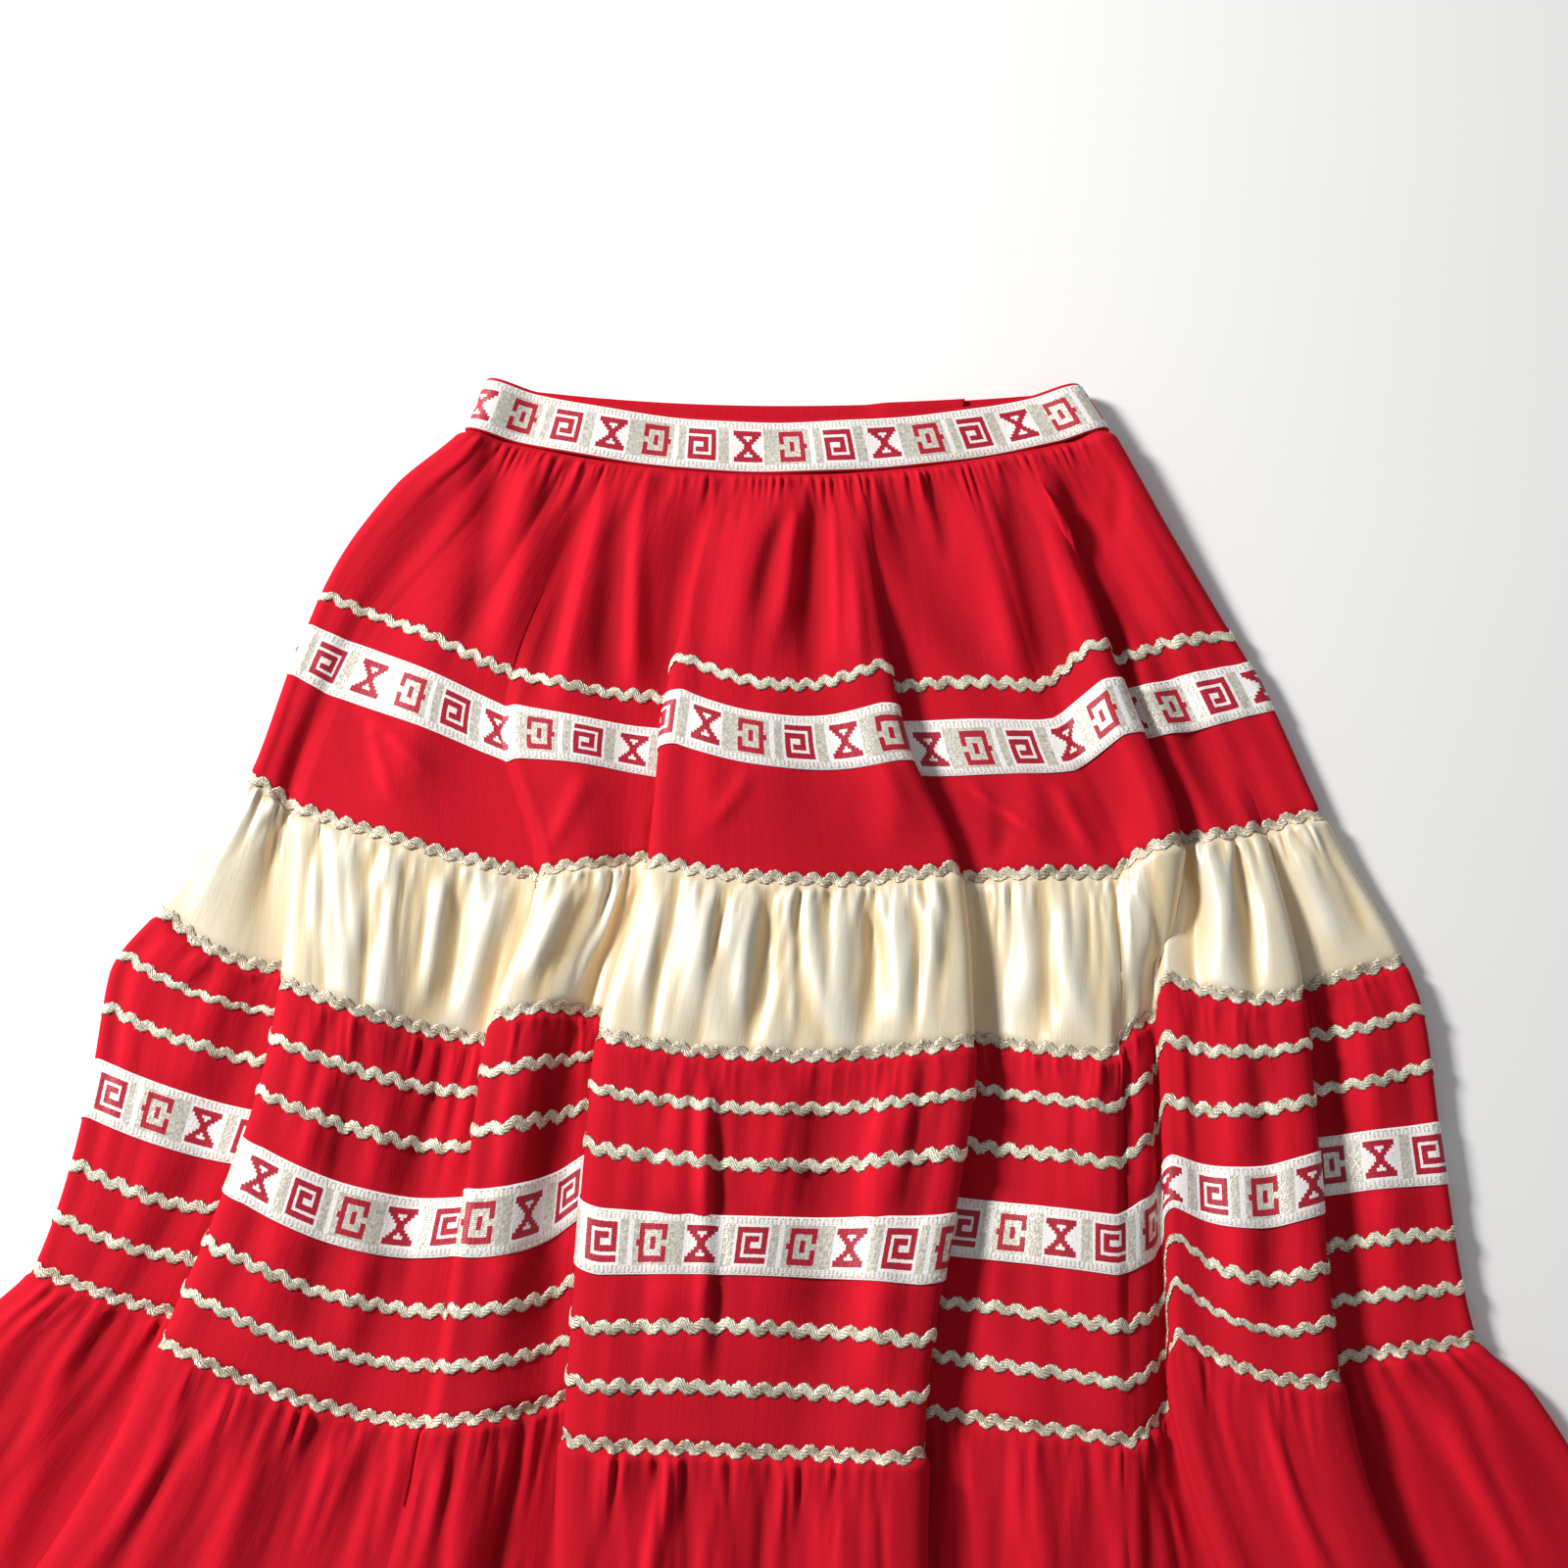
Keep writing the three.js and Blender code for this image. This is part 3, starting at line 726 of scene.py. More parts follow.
def relief_at(place, down, points):
    """Height of the cloth off its plain lay: gathers, creases, slow waves, the puff below
    each seam and the hem's fold. Troughs of the front stop short of the back. The relief
    fades down each side, and on the back, which rests on the table, it only goes in."""
    place = place % ROUND
    part = np.floor(place)
    share = place - part
    relief = np.zeros(place.shape)
    tops = [tier["top"] for tier in TIERS]
    which = np.clip(np.searchsorted(tops, down, side="right") - 1, 0, len(TIERS) - 1)
    for index, tier in enumerate(TIERS):
        here = which == index
        if not here.any():
            continue
        p, d = place[here], down[here]
        depth = d - tier["top"]
        seam = smooth(np.minimum(depth, tier["foot"] - d) / SEAM_EASE)
        gathers = gather_relief(index, tier["seam_run"].of(p), depth)
        body = (gathers + ripple(tier["run"].of(p), d)) * (0.2 + 0.8 * seam)
        body += crease_relief(points[here][..., 0], d) * (part[here] != BACK)
        body *= loose(p, d, tier["run"]) * held_flat(d)
        puff = tier["puff"] * smooth(1 - depth / PUFF_FADE) + FRONT_LIFT
        relief[here] = body + puff * seam - SEAM_SINK * (1 - seam)
    relief += HEM_RISE * smooth((down - HEM_TOP) / 1.5)
    room = np.maximum(points[..., 2] - FRONT_LOW, 0.2)
    relief = np.where(relief < 0, -room * (1 - np.exp(np.minimum(relief, 0) / room)), relief)
    relief *= np.where(part == LEFT_SIDE, smooth(share), np.where(part == RIGHT_SIDE, smooth(1 - share), 1))
    rising = smooth(share * 20) * smooth((1 - share) * 20)
    return np.where(part == BACK, -np.minimum(0.4 * np.abs(relief), BACK_RELIEF) * rising, relief)


def surface(place, down, lift):
    """The point of the gathered cloth, raised square to it by lift, in mm."""
    place, down, lift = floats(place, down, lift)
    points = lay(place, down)
    relief = relief_at(place, down, points)
    return points + outward(place, down) * (relief + lift)[..., None]


# The waistband's own lay

def band_lay(place, down):
    """The band in five parts: back, from its inner end climbing over the outer one; left
    side; front, low in its middle; right side; and back again to its outer end."""
    place, down = floats(place, down)
    part = np.clip(np.floor(place), 0, BAND_PARTS - 1).astype(int)
    share = place - part
    radius = side_radius(down)
    left = left_edge(down) + radius
    right = right_edge(down) - radius
    from_inner = BAND["inner_end"] + (left - BAND["inner_end"]) * share
    climb = smooth((from_inner - BAND["outer_end"] + BAND["climb"] + 4) / BAND["climb"])
    to_outer = right + (BAND["outer_end"] - right) * share
    across = left + (right - left) * share
    crest = smooth(1 - share * 15) + smooth(1 - (1 - share) * 15)
    wave = 0.8 * np.sin(across / 21) + 0.5 * np.sin(across / 9 + down / 14)
    front_z = at_level(LOFT, down) + SIDE_CREST * crest + wave * smooth(share * 8) * smooth(8 - 8 * share)
    parts = [
        (from_inner, back_height(from_inner, down), BACK_LEVEL + BAND["lap_height"] * climb),
        side_points(True, share, down),
        (across, row_height(across, down), front_z),
        side_points(False, share, down),
        (to_outer, back_height(to_outer, down), BACK_LEVEL + 0 * to_outer),
    ]
    stacked = np.stack([np.stack(found, axis=-1) for found in parts])
    return np.take_along_axis(stacked, part[None, ..., None], axis=0)[0]


def band_surface(place, down, lift):
    """A point on the waistband, raised square to its middle by lift."""
    place, down, lift = floats(place, down, lift)
    low = np.maximum(place - NEAR_PLACE, 0)
    high = np.minimum(place + NEAR_PLACE, BAND_PARTS)
    across = band_lay(high, down) - band_lay(low, down)
    below = band_lay(place, down + NEAR_DOWN) - band_lay(place, down - NEAR_DOWN)
    return band_lay(place, down) + unit(np.cross(below, across)) * lift[..., None]


def band_run():
    """The run along the waistband, at the middle of its width."""
    places = np.linspace(0, BAND_PARTS, 4001)
    return Run(places, band_lay(places, BAND["ribbon"]))


for tier in TIERS:
    tier["run"] = tube_run((tier["top"] + tier["foot"]) / 2)
    tier["seam_run"] = tube_run(tier["top"] + SEAM_DEPTH)
for kind in GATHERS:
    kind["waves"] = gather_waves(kind)


# Meshes

def to_frame(points):
    """Drawing millimetres to metres of the shared frame."""
    return (points + DRAWING_SHIFT) / 1000.0


def grid_faces(rows, columns, wrap_rows, wrap_columns):
    """Quads over a grid, each listed down, then across, so that they face outwards."""
    r = np.arange(rows if wrap_rows else rows - 1)[:, None]
    c = np.arange(columns if wrap_columns else columns - 1)[None, :]
    next_r, next_c = (r + 1) % rows, (c + 1) % columns
    corners = [r * columns + c, next_r * columns + c, next_r * columns + next_c, r * columns + next_c]
    return np.stack([np.broadcast_to(corner, (r.size, c.size)) for corner in corners], -1).reshape(-1, 4)


def grid_uv(along, across):
    """UV of each quad's corners from two grids, which have a value more where they wrap."""
    both = np.stack([along, across], axis=-1)
    upper, lower = both[:-1], both[1:]
    quads = [upper[:, :-1], lower[:, :-1], lower[:, 1:], upper[:, 1:]]
    return np.stack(quads, axis=2).reshape(-1, 2)


def linked(name, data):
    """A new object that holds the data, linked to the scene."""
    thing = bpy.data.objects.new(name, data)
    bpy.context.scene.collection.objects.link(thing)
    return thing


def mesh_object(name, points, faces, uv, material):
    """A smooth mesh object at the origin, from points in mm of the drawing."""
    mesh = bpy.data.meshes.new(name)
    mesh.from_pydata(to_frame(points.reshape(-1, 3)), [], faces)
    layer = mesh.uv_layers.new(name="cloth")
    layer.data.foreach_set("uv", np.asarray(uv, np.float32).ravel())
    mesh.shade_smooth()
    mesh.validate()
    mesh.materials.append(material)
    return linked(name, mesh)


def strip_object(name, points, along, across, material, closed=False):
    """A solid strip: a closed profile, points[profile, column], carried along. Open strips
    get a cap at each end. along and across are the UV in mm of each profile and column."""
    rows, columns = points.shape[:2]
    faces = grid_faces(rows, columns, True, closed).tolist()
    across = np.concatenate([across, across[:1]], axis=0)
    along_grid, across_grid = np.broadcast_arrays(along[None, :], across[:, None])
    uv = grid_uv(along_grid / 1000, across_grid / 1000)
    if not closed:
        first = np.arange(rows)[::-1] * columns
        last = np.arange(rows) * columns + columns - 1
        faces += [first.tolist(), last.tolist()]
        ends = [(along[0], across[::-1][1:]), (along[-1], across[:-1])]
        for run, shares in ends:
            cap = np.stack([np.full(rows, run), shares], axis=-1) / 1000
            uv = np.concatenate([uv, cap])
    return mesh_object(name, points, faces, uv, material)


def tube_places():
    """Places of the columns of a tier: close on the front and its folds, wider on the back."""
    columns = [SIDE_COLUMNS]
    for panel in PANELS:
        columns += [int(panel["columns"]), FOLD_COLUMNS]
    columns[-1:] = [SIDE_COLUMNS, BACK_COLUMNS]
    return np.concatenate([part + np.linspace(0, 1, count, endpoint=False)
                           for part, count in enumerate(columns)])


def tier_downs(tier):
    """Heights of a tier's rows, closer together near its two seams."""
    share = np.linspace(0, 1, tier["rows"])
    eased_share = share - 0.1 * np.sin(2 * math.pi * share)
    return tier["top"] + (tier["foot"] - tier["top"]) * eased_share


def solidify(piece, thickness):
    """Gives a sheet its thickness, inwards from the face that shows."""
    wall = piece.modifiers.new("thickness", "SOLIDIFY")
    wall.thickness = thickness
    wall.offset = -1.0
    return piece


def hollows(relief):
    """How far each point of a grid stands above its neighbours 2, 5 and 12 columns away on
    both sides, in mm on average. It is negative in a hollow."""
    beside = [np.roll(relief, columns, axis=1) for columns in (-12, -5, -2, 2, 5, 12)]
    return relief - np.mean(beside, axis=0)


def tier_object(tier, cloth_thickness, material):
    """One tier: the gathered surface over every column and row, closed round the tube."""
    places = tube_places()
    downs = tier_downs(tier)
    place, down = np.meshgrid(places, downs)
    points = surface(place, down, CLOTH_LIFT)
    run = tier["run"].of(np.append(places, ROUND))
    along, across = np.meshgrid(run / 1000, downs / 1000)
    faces = grid_faces(len(downs), len(places), False, True)
    uv = grid_uv(along, across)
    piece = mesh_object(tier["name"], points, faces, uv, material)
    # The hollow attribute is the mask of the painted shade in the cloth's hollows
    hollow = hollows(relief_at(place, down, lay(place, down)))
    attribute = piece.data.attributes.new("hollow", "FLOAT", "POINT")
    attribute.data.foreach_set("value", hollow.astype(np.float32).ravel())
    return solidify(piece, cloth_thickness)


def flat_profile(width, thick, near, steps):
    """A ribbon's profile, as downs and lifts: along its outer face, then back along its
    inner one, with its two edges rounded."""
    outer = np.linspace(-width / 2 + 0.3, width / 2 - 0.3, steps)
    inner = outer[::-1]
    downs = np.concatenate([[-width / 2], outer, [width / 2], inner[[0, -1]]])
    lifts = np.concatenate([[near + thick / 2], np.full(steps, near + thick), [near + thick / 2],
                            [near, near]])
    return downs, lifts


def ribbon_object(ribbon, width, thick, material):
    """A ribbon round a tier: a flat profile carried along the row at its middle. Its UV
    runs the other way on a ribbon that is sewn on turned round."""
    run_map = tube_run(ribbon["down"])
    runs = np.linspace(0, run_map.total, int(run_map.total / RIBBON_COLUMN), endpoint=False)
    downs, lifts = flat_profile(width, thick, RIBBON_LIFT, RIBBON_ROWS)
    points = surface(run_map.place(runs)[None, :], ribbon["down"] + downs[:, None], lifts[:, None])
    along = np.append(runs, run_map.total) + ribbon["start"]
    across = downs + width / 2
    if ribbon["turned"]:
        along, across = -along, width - across
    return strip_object(ribbon["node"] + "_woven", points, along, across, material, closed=True)


def braid_profile(tall, thick, near):
    """Rickrack's profile: a low dome over a flat underside, as downs and lifts."""
    angle = np.linspace(-80, 80, 5) * math.pi / 180
    downs = np.concatenate([np.sin(angle) * tall / 2, [tall * 0.42, -tall * 0.42]])
    lifts = np.concatenate([near + thick * (0.25 + 0.75 * np.cos(angle)), [near, near]])
    return downs, lifts


def uneven(turns, total, lengths, start):
    """Slow wandering between about -1 and 1 that closes round a row: two sines, of about
    the given lengths in mm."""
    long, short = (round(total / length) for length in lengths)
    return 0.6 * np.sin(long * turns + start) + 0.4 * np.sin(short * turns + 2 * start)


def rickrack_object(name, row, sizes, material):
    """A row of rickrack: its profile swings up and down by an uneven sine wave as it is
    carried round the tube, and leans most of the way square to the wave."""
    run_map = tube_run(row)
    pitches = round(run_map.total / sizes["pitch"])
    count = pitches * RICKRACK_STEPS
    runs = np.arange(count) * run_map.total / count
    turns = 2 * math.pi * runs / run_map.total
    drift = uneven(turns, run_map.total, (170, 61), row)
    tall = 1 + 0.2 * uneven(turns, run_map.total, (97, 37), 2 * row)
    swing = sizes["wave"] * tall * np.sin(pitches * turns + 0.8 * drift)
    swing += 0.35 * uneven(turns, run_map.total, (53, 23), 3 * row)
    slope = (np.roll(swing, -1) - np.roll(swing, 1)) / (2 * runs[1])
    downs, lifts = braid_profile(sizes["tall"], sizes["thick"], BRAID_LIFT)
    lean = 0.6 * slope / (1 + slope**2)
    place = run_map.place((runs[None, :] - lean[None, :] * downs[:, None]) % run_map.total)
    frayed = uneven(turns, run_map.total, (29, 11), row)
    spread = 1 + 0.09 * np.sin(STRANDS * pitches * turns) + 0.08 * frayed
    points = surface(place, row + swing[None, :] + downs[:, None] * spread, lifts[:, None])
    along = np.append(runs, run_map.total)
    return strip_object(name, points, along, downs + sizes["tall"] / 2, material, closed=True)


def band_object(material):
    """The waistband: a doubled strip with a rounded fold at its top, lapped at the back."""
    run_map = band_run()
    runs = np.linspace(0, run_map.total, BAND_COLUMNS)
    half = BAND["thick"] / 2
    turn = np.linspace(-90, 90, 7) * math.pi / 180
    top_downs = BAND["top"] + half * (1 - np.cos(turn))
    face = np.linspace(BAND["top"] + 4, BAND["foot"] - 1, 8)
    foot_downs = BAND["foot"] - 0.2 - half * (1 - np.cos(turn))
    downs = np.concatenate([top_downs, face, foot_downs, face[::-1]])
    outer, inner = np.full(len(face), half), np.full(len(face), -half)
    lifts = np.concatenate([half * np.sin(turn), outer, -half * np.sin(turn), inner])
    points = band_surface(run_map.place(runs)[None, :], downs[:, None], lifts[:, None])
    return strip_object("waistband_cloth", points, runs, downs - BAND["top"], material)


def band_ribbon_object(width, thick, material):
    """The ribbon sewn on the outside of the waistband, stopping just short of its two ends."""
    run_map = band_run()
    runs = np.linspace(0.6, run_map.total - 0.6, BAND_RIBBON_COLUMNS)
    downs, lifts = flat_profile(width, thick, BAND_RIBBON_LIFT, RIBBON_ROWS)
    points = band_surface(run_map.place(runs)[None, :], BAND["ribbon"] + downs[:, None], lifts[:, None])
    return strip_object("waist_ribbon_woven", points, runs + 6, downs + width / 2, material)


# Each stitch is a small lens of thread: share of its length, side and height of each corner
STITCH_CORNERS = np.array([[-0.5, 0, 0.02], [0, -1, 0.1], [0, 0, 1.0],
                           [0, 1, 0.1], [0.5, 0, 0.02], [0, 0, -0.3]])
STITCH_FACES = np.array([[0, 1, 2], [0, 2, 3], [4, 2, 1], [4, 3, 2],
                         [0, 5, 1], [0, 3, 5], [4, 1, 5], [4, 5, 3]])


def stitch_line(run_map, down, lift, on_surface, sizes):
    """Corners of every stitch in a line, on the surface that the line is sewn along."""
    count = int(run_map.total / sizes["pitch"])
    middles = (np.arange(count) + 0.5) * run_map.total / count
    runs = middles[:, None] + STITCH_CORNERS[None, :, 0] * sizes["length"]
    downs = down + STITCH_CORNERS[None, :, 1] * sizes["thread"] / 2
    lifts = lift + STITCH_CORNERS[None, :, 2] * sizes["thread"] * 0.7
    return on_surface(run_map.place(runs), downs, lifts).reshape(-1, 3)


def stitches_object(name, lines, material):
    """All stitches of one kind as one mesh."""
    points = np.concatenate(lines)
    count = len(points) // len(STITCH_CORNERS)
    faces = (STITCH_FACES[None] + len(STITCH_CORNERS) * np.arange(count)[:, None, None]).reshape(-1, 3)
    uv = np.tile(np.array([[0.0, 0.0], [0.0005, 0.0], [0.0, 0.0005]]), (len(faces), 1))
    return mesh_object(name, points, faces, uv, material)


# Shader nodes

def set_inputs(tree, node, inputs):
    """Gives a node its inputs, each as a value or as a socket to link."""
    for socket, value in inputs.items():
        if isinstance(value, bpy.types.NodeSocket):
            tree.links.new(value, node.inputs[socket])
        else:
            node.inputs[socket].default_value = value


def add_node(tree, kind, inputs=(), **settings):
    """A node with its settings and its inputs."""
    node = tree.nodes.new(kind)
    for name, value in settings.items():
        setattr(node, name, value)
    set_inputs(tree, node, dict(inputs))
    return node


def calc(tree, operation, first, second=0.0, third=0.0):
    """The output of one Math node."""
    return add_node(tree, "ShaderNodeMath", {0: first, 1: second, 2: third}, operation=operation).outputs[0]


def scaled(tree, value, factor, offset):
    return calc(tree, "MULTIPLY_ADD", value, factor, offset)


def clamped(tree, value):
    """A value held between 0 and 1."""
    return add_node(tree, "ShaderNodeClamp", {0: value}).outputs[0]


def mix_colours(tree, factor, first, second):
    """The output of one Mix node between two colours."""
    return add_node(tree, "ShaderNodeMix", {0: factor, 6: first, 7: second}, data_type="RGBA").outputs[2]


def noise(tree, vector, scale, detail=2.0, roughness=0.5):
    """The value of one Noise node."""
    inputs = {"Vector": vector, "Scale": scale, "Detail": detail, "Roughness": roughness}
    return add_node(tree, "ShaderNodeTexNoise", inputs).outputs[0]


def bump(tree, height, strength, distance, normal=None):
    inputs = {"Height": height, "Strength": strength, "Distance": distance}
    if normal is not None:
        inputs["Normal"] = normal
    return add_node(tree, "ShaderNodeBump", inputs).outputs[0]


def split(tree, vector):
    """The x, y and z of a vector."""
    return add_node(tree, "ShaderNodeSeparateXYZ", {0: vector}).outputs


def new_group(name, sizes, outputs):
    """A node group that takes the cloth's UV and some sizes, with the sizes' defaults, and
    the sockets at its start and end."""
    tree = bpy.data.node_groups.new(name, "ShaderNodeTree")
    tree.interface.new_socket("Cloth", in_out="INPUT", socket_type="NodeSocketVector")
    for label, default in sizes.items():
        socket = tree.interface.new_socket(label, in_out="INPUT", socket_type="NodeSocketFloat")
        socket.default_value = default
    for label in outputs:
        tree.interface.new_socket(label, in_out="OUTPUT", socket_type="NodeSocketFloat")
    return tree, tree.nodes.new("NodeGroupInput").outputs, tree.nodes.new("NodeGroupOutput")


def use_group(tree, name, build, inputs):
    """The outputs of a node group, which is built the first time that it is used."""
    group = bpy.data.node_groups.get(name) or build(name)
    return add_node(tree, "ShaderNodeGroup", inputs, node_tree=group).outputs


def weave_group(name):
    """Plain weave: over and under threads, as the product of two sine waves."""
    tree, start, end = new_group(name, {"Thread": 0.0006}, ["Height"])
    parts = split(tree, start["Cloth"])
    waves = []
    for axis in (0, 1):
        turns = calc(tree, "DIVIDE", parts[axis], start["Thread"])
        waves.append(calc(tree, "SINE", calc(tree, "MULTIPLY", turns, math.pi)))
    set_inputs(tree, end, {"Height": scaled(tree, calc(tree, "MULTIPLY", *waves), 0.5, 0.5)})
    return tree


def streaks_group(name):
    """Fine crinkles that run down the cloth: noise stretched along it, coarse and fine. The coarse
    noise also comes out as Shade, which the cotton's colour follows as painted shade.
    """
    tree, start, end = new_group(name, {"Width": 0.004, "Stretch": 12.0}, ["Height", "Shade"])
    parts = split(tree, start["Cloth"])
    across = calc(tree, "DIVIDE", parts[0], start["Width"])
    down = calc(tree, "DIVIDE", parts[1], calc(tree, "MULTIPLY", start["Width"], start["Stretch"]))
    spot = add_node(tree, "ShaderNodeCombineXYZ", {0: across, 1: down}).outputs[0]
    coarse = noise(tree, spot, 1.0, 3.0, 0.6)
    fine = noise(tree, spot, 3.7)
    set_inputs(tree, end, {"Height": scaled(tree, fine, 0.35, coarse), "Shade": coarse})
    return tree


def lurex_group(name):
    """Metallic thread: small bright and dark flecks, from noise and cells, which the materials use
    as painted glints of the thread.
    """
    tree, start, end = new_group(name, {"Fleck": 0.0009}, ["Bright", "Height"])
    scale = calc(tree, "DIVIDE", 1.0, start["Fleck"])
    cells = add_node(tree, "ShaderNodeTexVoronoi", {"Vector": start["Cloth"], "Scale": scale}).outputs
    soft = noise(tree, start["Cloth"], calc(tree, "MULTIPLY", scale, 0.6))
    grey = add_node(tree, "ShaderNodeSeparateColor", {0: cells["Color"]}).outputs[0]
    fleck = scaled(tree, grey, 0.5, scaled(tree, soft, 1.6, -0.55))
    set_inputs(tree, end, {"Bright": clamped(tree, fleck), "Height": cells["Distance"]})
    return tree


def chart_rows():
    """The ribbon's chart as twelve strings of the whole repeat: three motifs in a row."""
    before, after = MOTIF_MARGINS
    motifs = (MOTIF_BOX, MOTIF_KEY, MOTIF_HOURGLASS)
    return ["".join(before + motif[row] + after for motif in motifs) for row in range(MOTIF_ROWS)]


def stepped_ramp(tree, factor, cells):
    """A colour ramp that is white over the cells marked R of a line and black elsewhere."""
    node = add_node(tree, "ShaderNodeValToRGB", {0: factor})
    ramp = node.color_ramp
    ramp.interpolation = "CONSTANT"
    ramp.elements.remove(ramp.elements[1])
    ramp.elements[0].position = 0.0
    for index, cell in enumerate(cells):
        if index and cell == cells[index - 1]:
            continue
        element = ramp.elements.new(index / CHART_CELLS) if index else ramp.elements[0]
        element.color = (1, 1, 1, 1) if cell == "R" else (0, 0, 0, 1)
    return node.outputs[0]


def chart_group(name):
    """The ribbon's woven pattern: the row of the chart picks a ramp, and the share of the
    repeat is looked up in it."""
    tree, start, end = new_group(name, {"Share": 0.0, "Row": 0.0}, ["Motif", "Silver"])
    total = 0.0
    for row, line in enumerate(chart_rows()):
        here = calc(tree, "COMPARE", start["Row"], row + 0.5, 0.5)
        total = scaled(tree, stepped_ramp(tree, start["Share"], line), here, total)
    silver = stepped_ramp(tree, start["Share"], SILVER_CELLS)
    set_inputs(tree, end, {"Motif": total, "Silver": silver})
    return tree


def new_material(name):
    """A material, its tree and its Principled shader."""
    material = bpy.data.materials.new(name)
    material.use_nodes = True
    return material, material.node_tree, material.node_tree.nodes["Principled BSDF"]


def cloth_uv(tree):
    """The UV map of the cloth: metres along and across it."""
    return add_node(tree, "ShaderNodeUVMap", uv_map="cloth").outputs[0]


def shade(colour, *factors):
    """A colour made darker or lighter by one factor, or by one for each channel."""
    return tuple(min(1.0, channel * factor) for channel, factor in zip(colour[:3], 3 * factors)) + (1.0,)


def hollow_share(tree, gain):
    """0 at the bottom of a hollow of the cloth, 0.5 where it is even and 1 on top of a ridge:
    the mask of the painted shade in the hollows.
    """
    hollow = add_node(tree, "ShaderNodeAttribute", attribute_name="hollow").outputs["Fac"]
    return clamped(tree, scaled(tree, hollow, gain, 0.5))


def cotton_material(name, colour):
    """Crinkled cotton: plain weave, faint streaks down the cloth, uneven dye with painted shade
    along the streaks, and painted shade, a darker red, in the hollows."""
    material, tree, shader = new_material(name)
    cloth = cloth_uv(tree)
    weave = use_group(tree, "plain_weave", weave_group, {"Cloth": cloth, "Thread": 0.00055})
    streaks = use_group(tree, "crinkle_streaks", streaks_group,
                        {"Cloth": cloth, "Width": 0.0028, "Stretch": 7.0})
    # Painted shade: the coarse crinkle noise makes the red lighter where the crinkles stand high, on top of
    # the dye's random tone
    streak_shade = calc(tree, "MULTIPLY", streaks["Shade"], 0.35)
    uneven = scaled(tree, noise(tree, cloth, 26.0, 4.0), 0.75, streak_shade)
    dye_and_streak_shade = mix_colours(tree, uneven, shade(colour, 0.84), shade(colour, 1.14))
    # Painted shade: a darker copy of the red, used in the hollows of the cloth
    painted_hollow_red = mix_colours(tree, uneven, shade(colour, 0.5), shade(colour, 0.6))
    fine = bump(tree, weave["Height"], 0.3, 0.00015)
    set_inputs(tree, shader, {
        "Base Color": mix_colours(tree, hollow_share(tree, 0.3), painted_hollow_red, dye_and_streak_shade),
        "Normal": bump(tree, streaks["Height"], 0.22, 0.0012, fine),
        "Roughness": scaled(tree, weave["Height"], 0.1, 0.78),
        "Specular IOR Level": 0.08,
    })
    return material


def satin_material(name, colour):
    """Cream satin: glossier, with soft streaks, and a warm painted shade in its hollows."""
    material, tree, shader = new_material(name)
    cloth = cloth_uv(tree)
    weave = use_group(tree, "plain_weave", weave_group, {"Cloth": cloth, "Thread": 0.0004})
    streaks = use_group(tree, "crinkle_streaks", streaks_group,
                        {"Cloth": cloth, "Width": 0.004, "Stretch": 6.0})
    aged = shade(colour, 0.94, 0.88, 0.78)
    # Painted shade: a warm, darker copy of the cream, used in the hollows of the cloth
    warm_hollow_shade = shade(colour, 0.96, 0.74, 0.50)
    cream = mix_colours(tree, noise(tree, cloth, 30.0, 3.0), aged, shade(colour, 1.0))
    fine = bump(tree, weave["Height"], 0.15, 0.0001)
    set_inputs(tree, shader, {
        "Base Color": mix_colours(tree, hollow_share(tree, 0.42), warm_hollow_shade, cream),
        "Normal": bump(tree, streaks["Height"], 0.2, 0.0012, fine),
        "Roughness": scaled(tree, streaks["Shade"], 0.15, 0.32),
        "Specular IOR Level": 0.8,
        "Sheen Weight": 0.15,
        "Subsurface Weight": 0.35,
        "Subsurface Radius": (1.0, 0.7, 0.4),
        "Subsurface Scale": 0.005,
    })
    return material


def braid_material(name, colour):
    """Rickrack: fine strands of metallic thread along the braid, with painted shade between them,
    painted glints from the metallic flecks, and painted highlights and shade in patches."""
    material, tree, shader = new_material(name)
    cloth = cloth_uv(tree)
    flecks = use_group(tree, "lurex_flecks", lurex_group, {"Cloth": cloth, "Fleck": 0.0009})
    slant = {"Vector": cloth, "Rotation": (0, 0, math.radians(52))}
    turned = add_node(tree, "ShaderNodeMapping", slant).outputs[0]
    wave = {"Vector": turned, "Scale": 290.0, "Distortion": 2.4, "Detail": 2.0}
    strands = add_node(tree, "ShaderNodeTexWave", wave).outputs["Fac"]
    # Painted light: the strands, the glinting flecks and the noise patches below mix a shaded and a lit copy
    # of the braid's colour
    strands_and_glints = scaled(tree, strands, 0.6, calc(tree, "MULTIPLY", flecks["Bright"], 0.55))
    glints = noise(tree, cloth, 150.0)
    share = clamped(tree, scaled(tree, glints, 2.3, calc(tree, "SUBTRACT", strands_and_glints, 1.14)))
    fine = bump(tree, flecks["Height"], 0.5, 0.0005)
    set_inputs(tree, shader, {
        "Base Color": mix_colours(tree, share, shade(colour, 0.36, 0.31, 0.27), shade(colour, 1.18)),
        "Normal": bump(tree, strands, 0.6, 0.0005, fine),
        "Roughness": scaled(tree, flecks["Bright"], -0.12, 0.46),
        "Metallic": 0.25,
    })
    return material


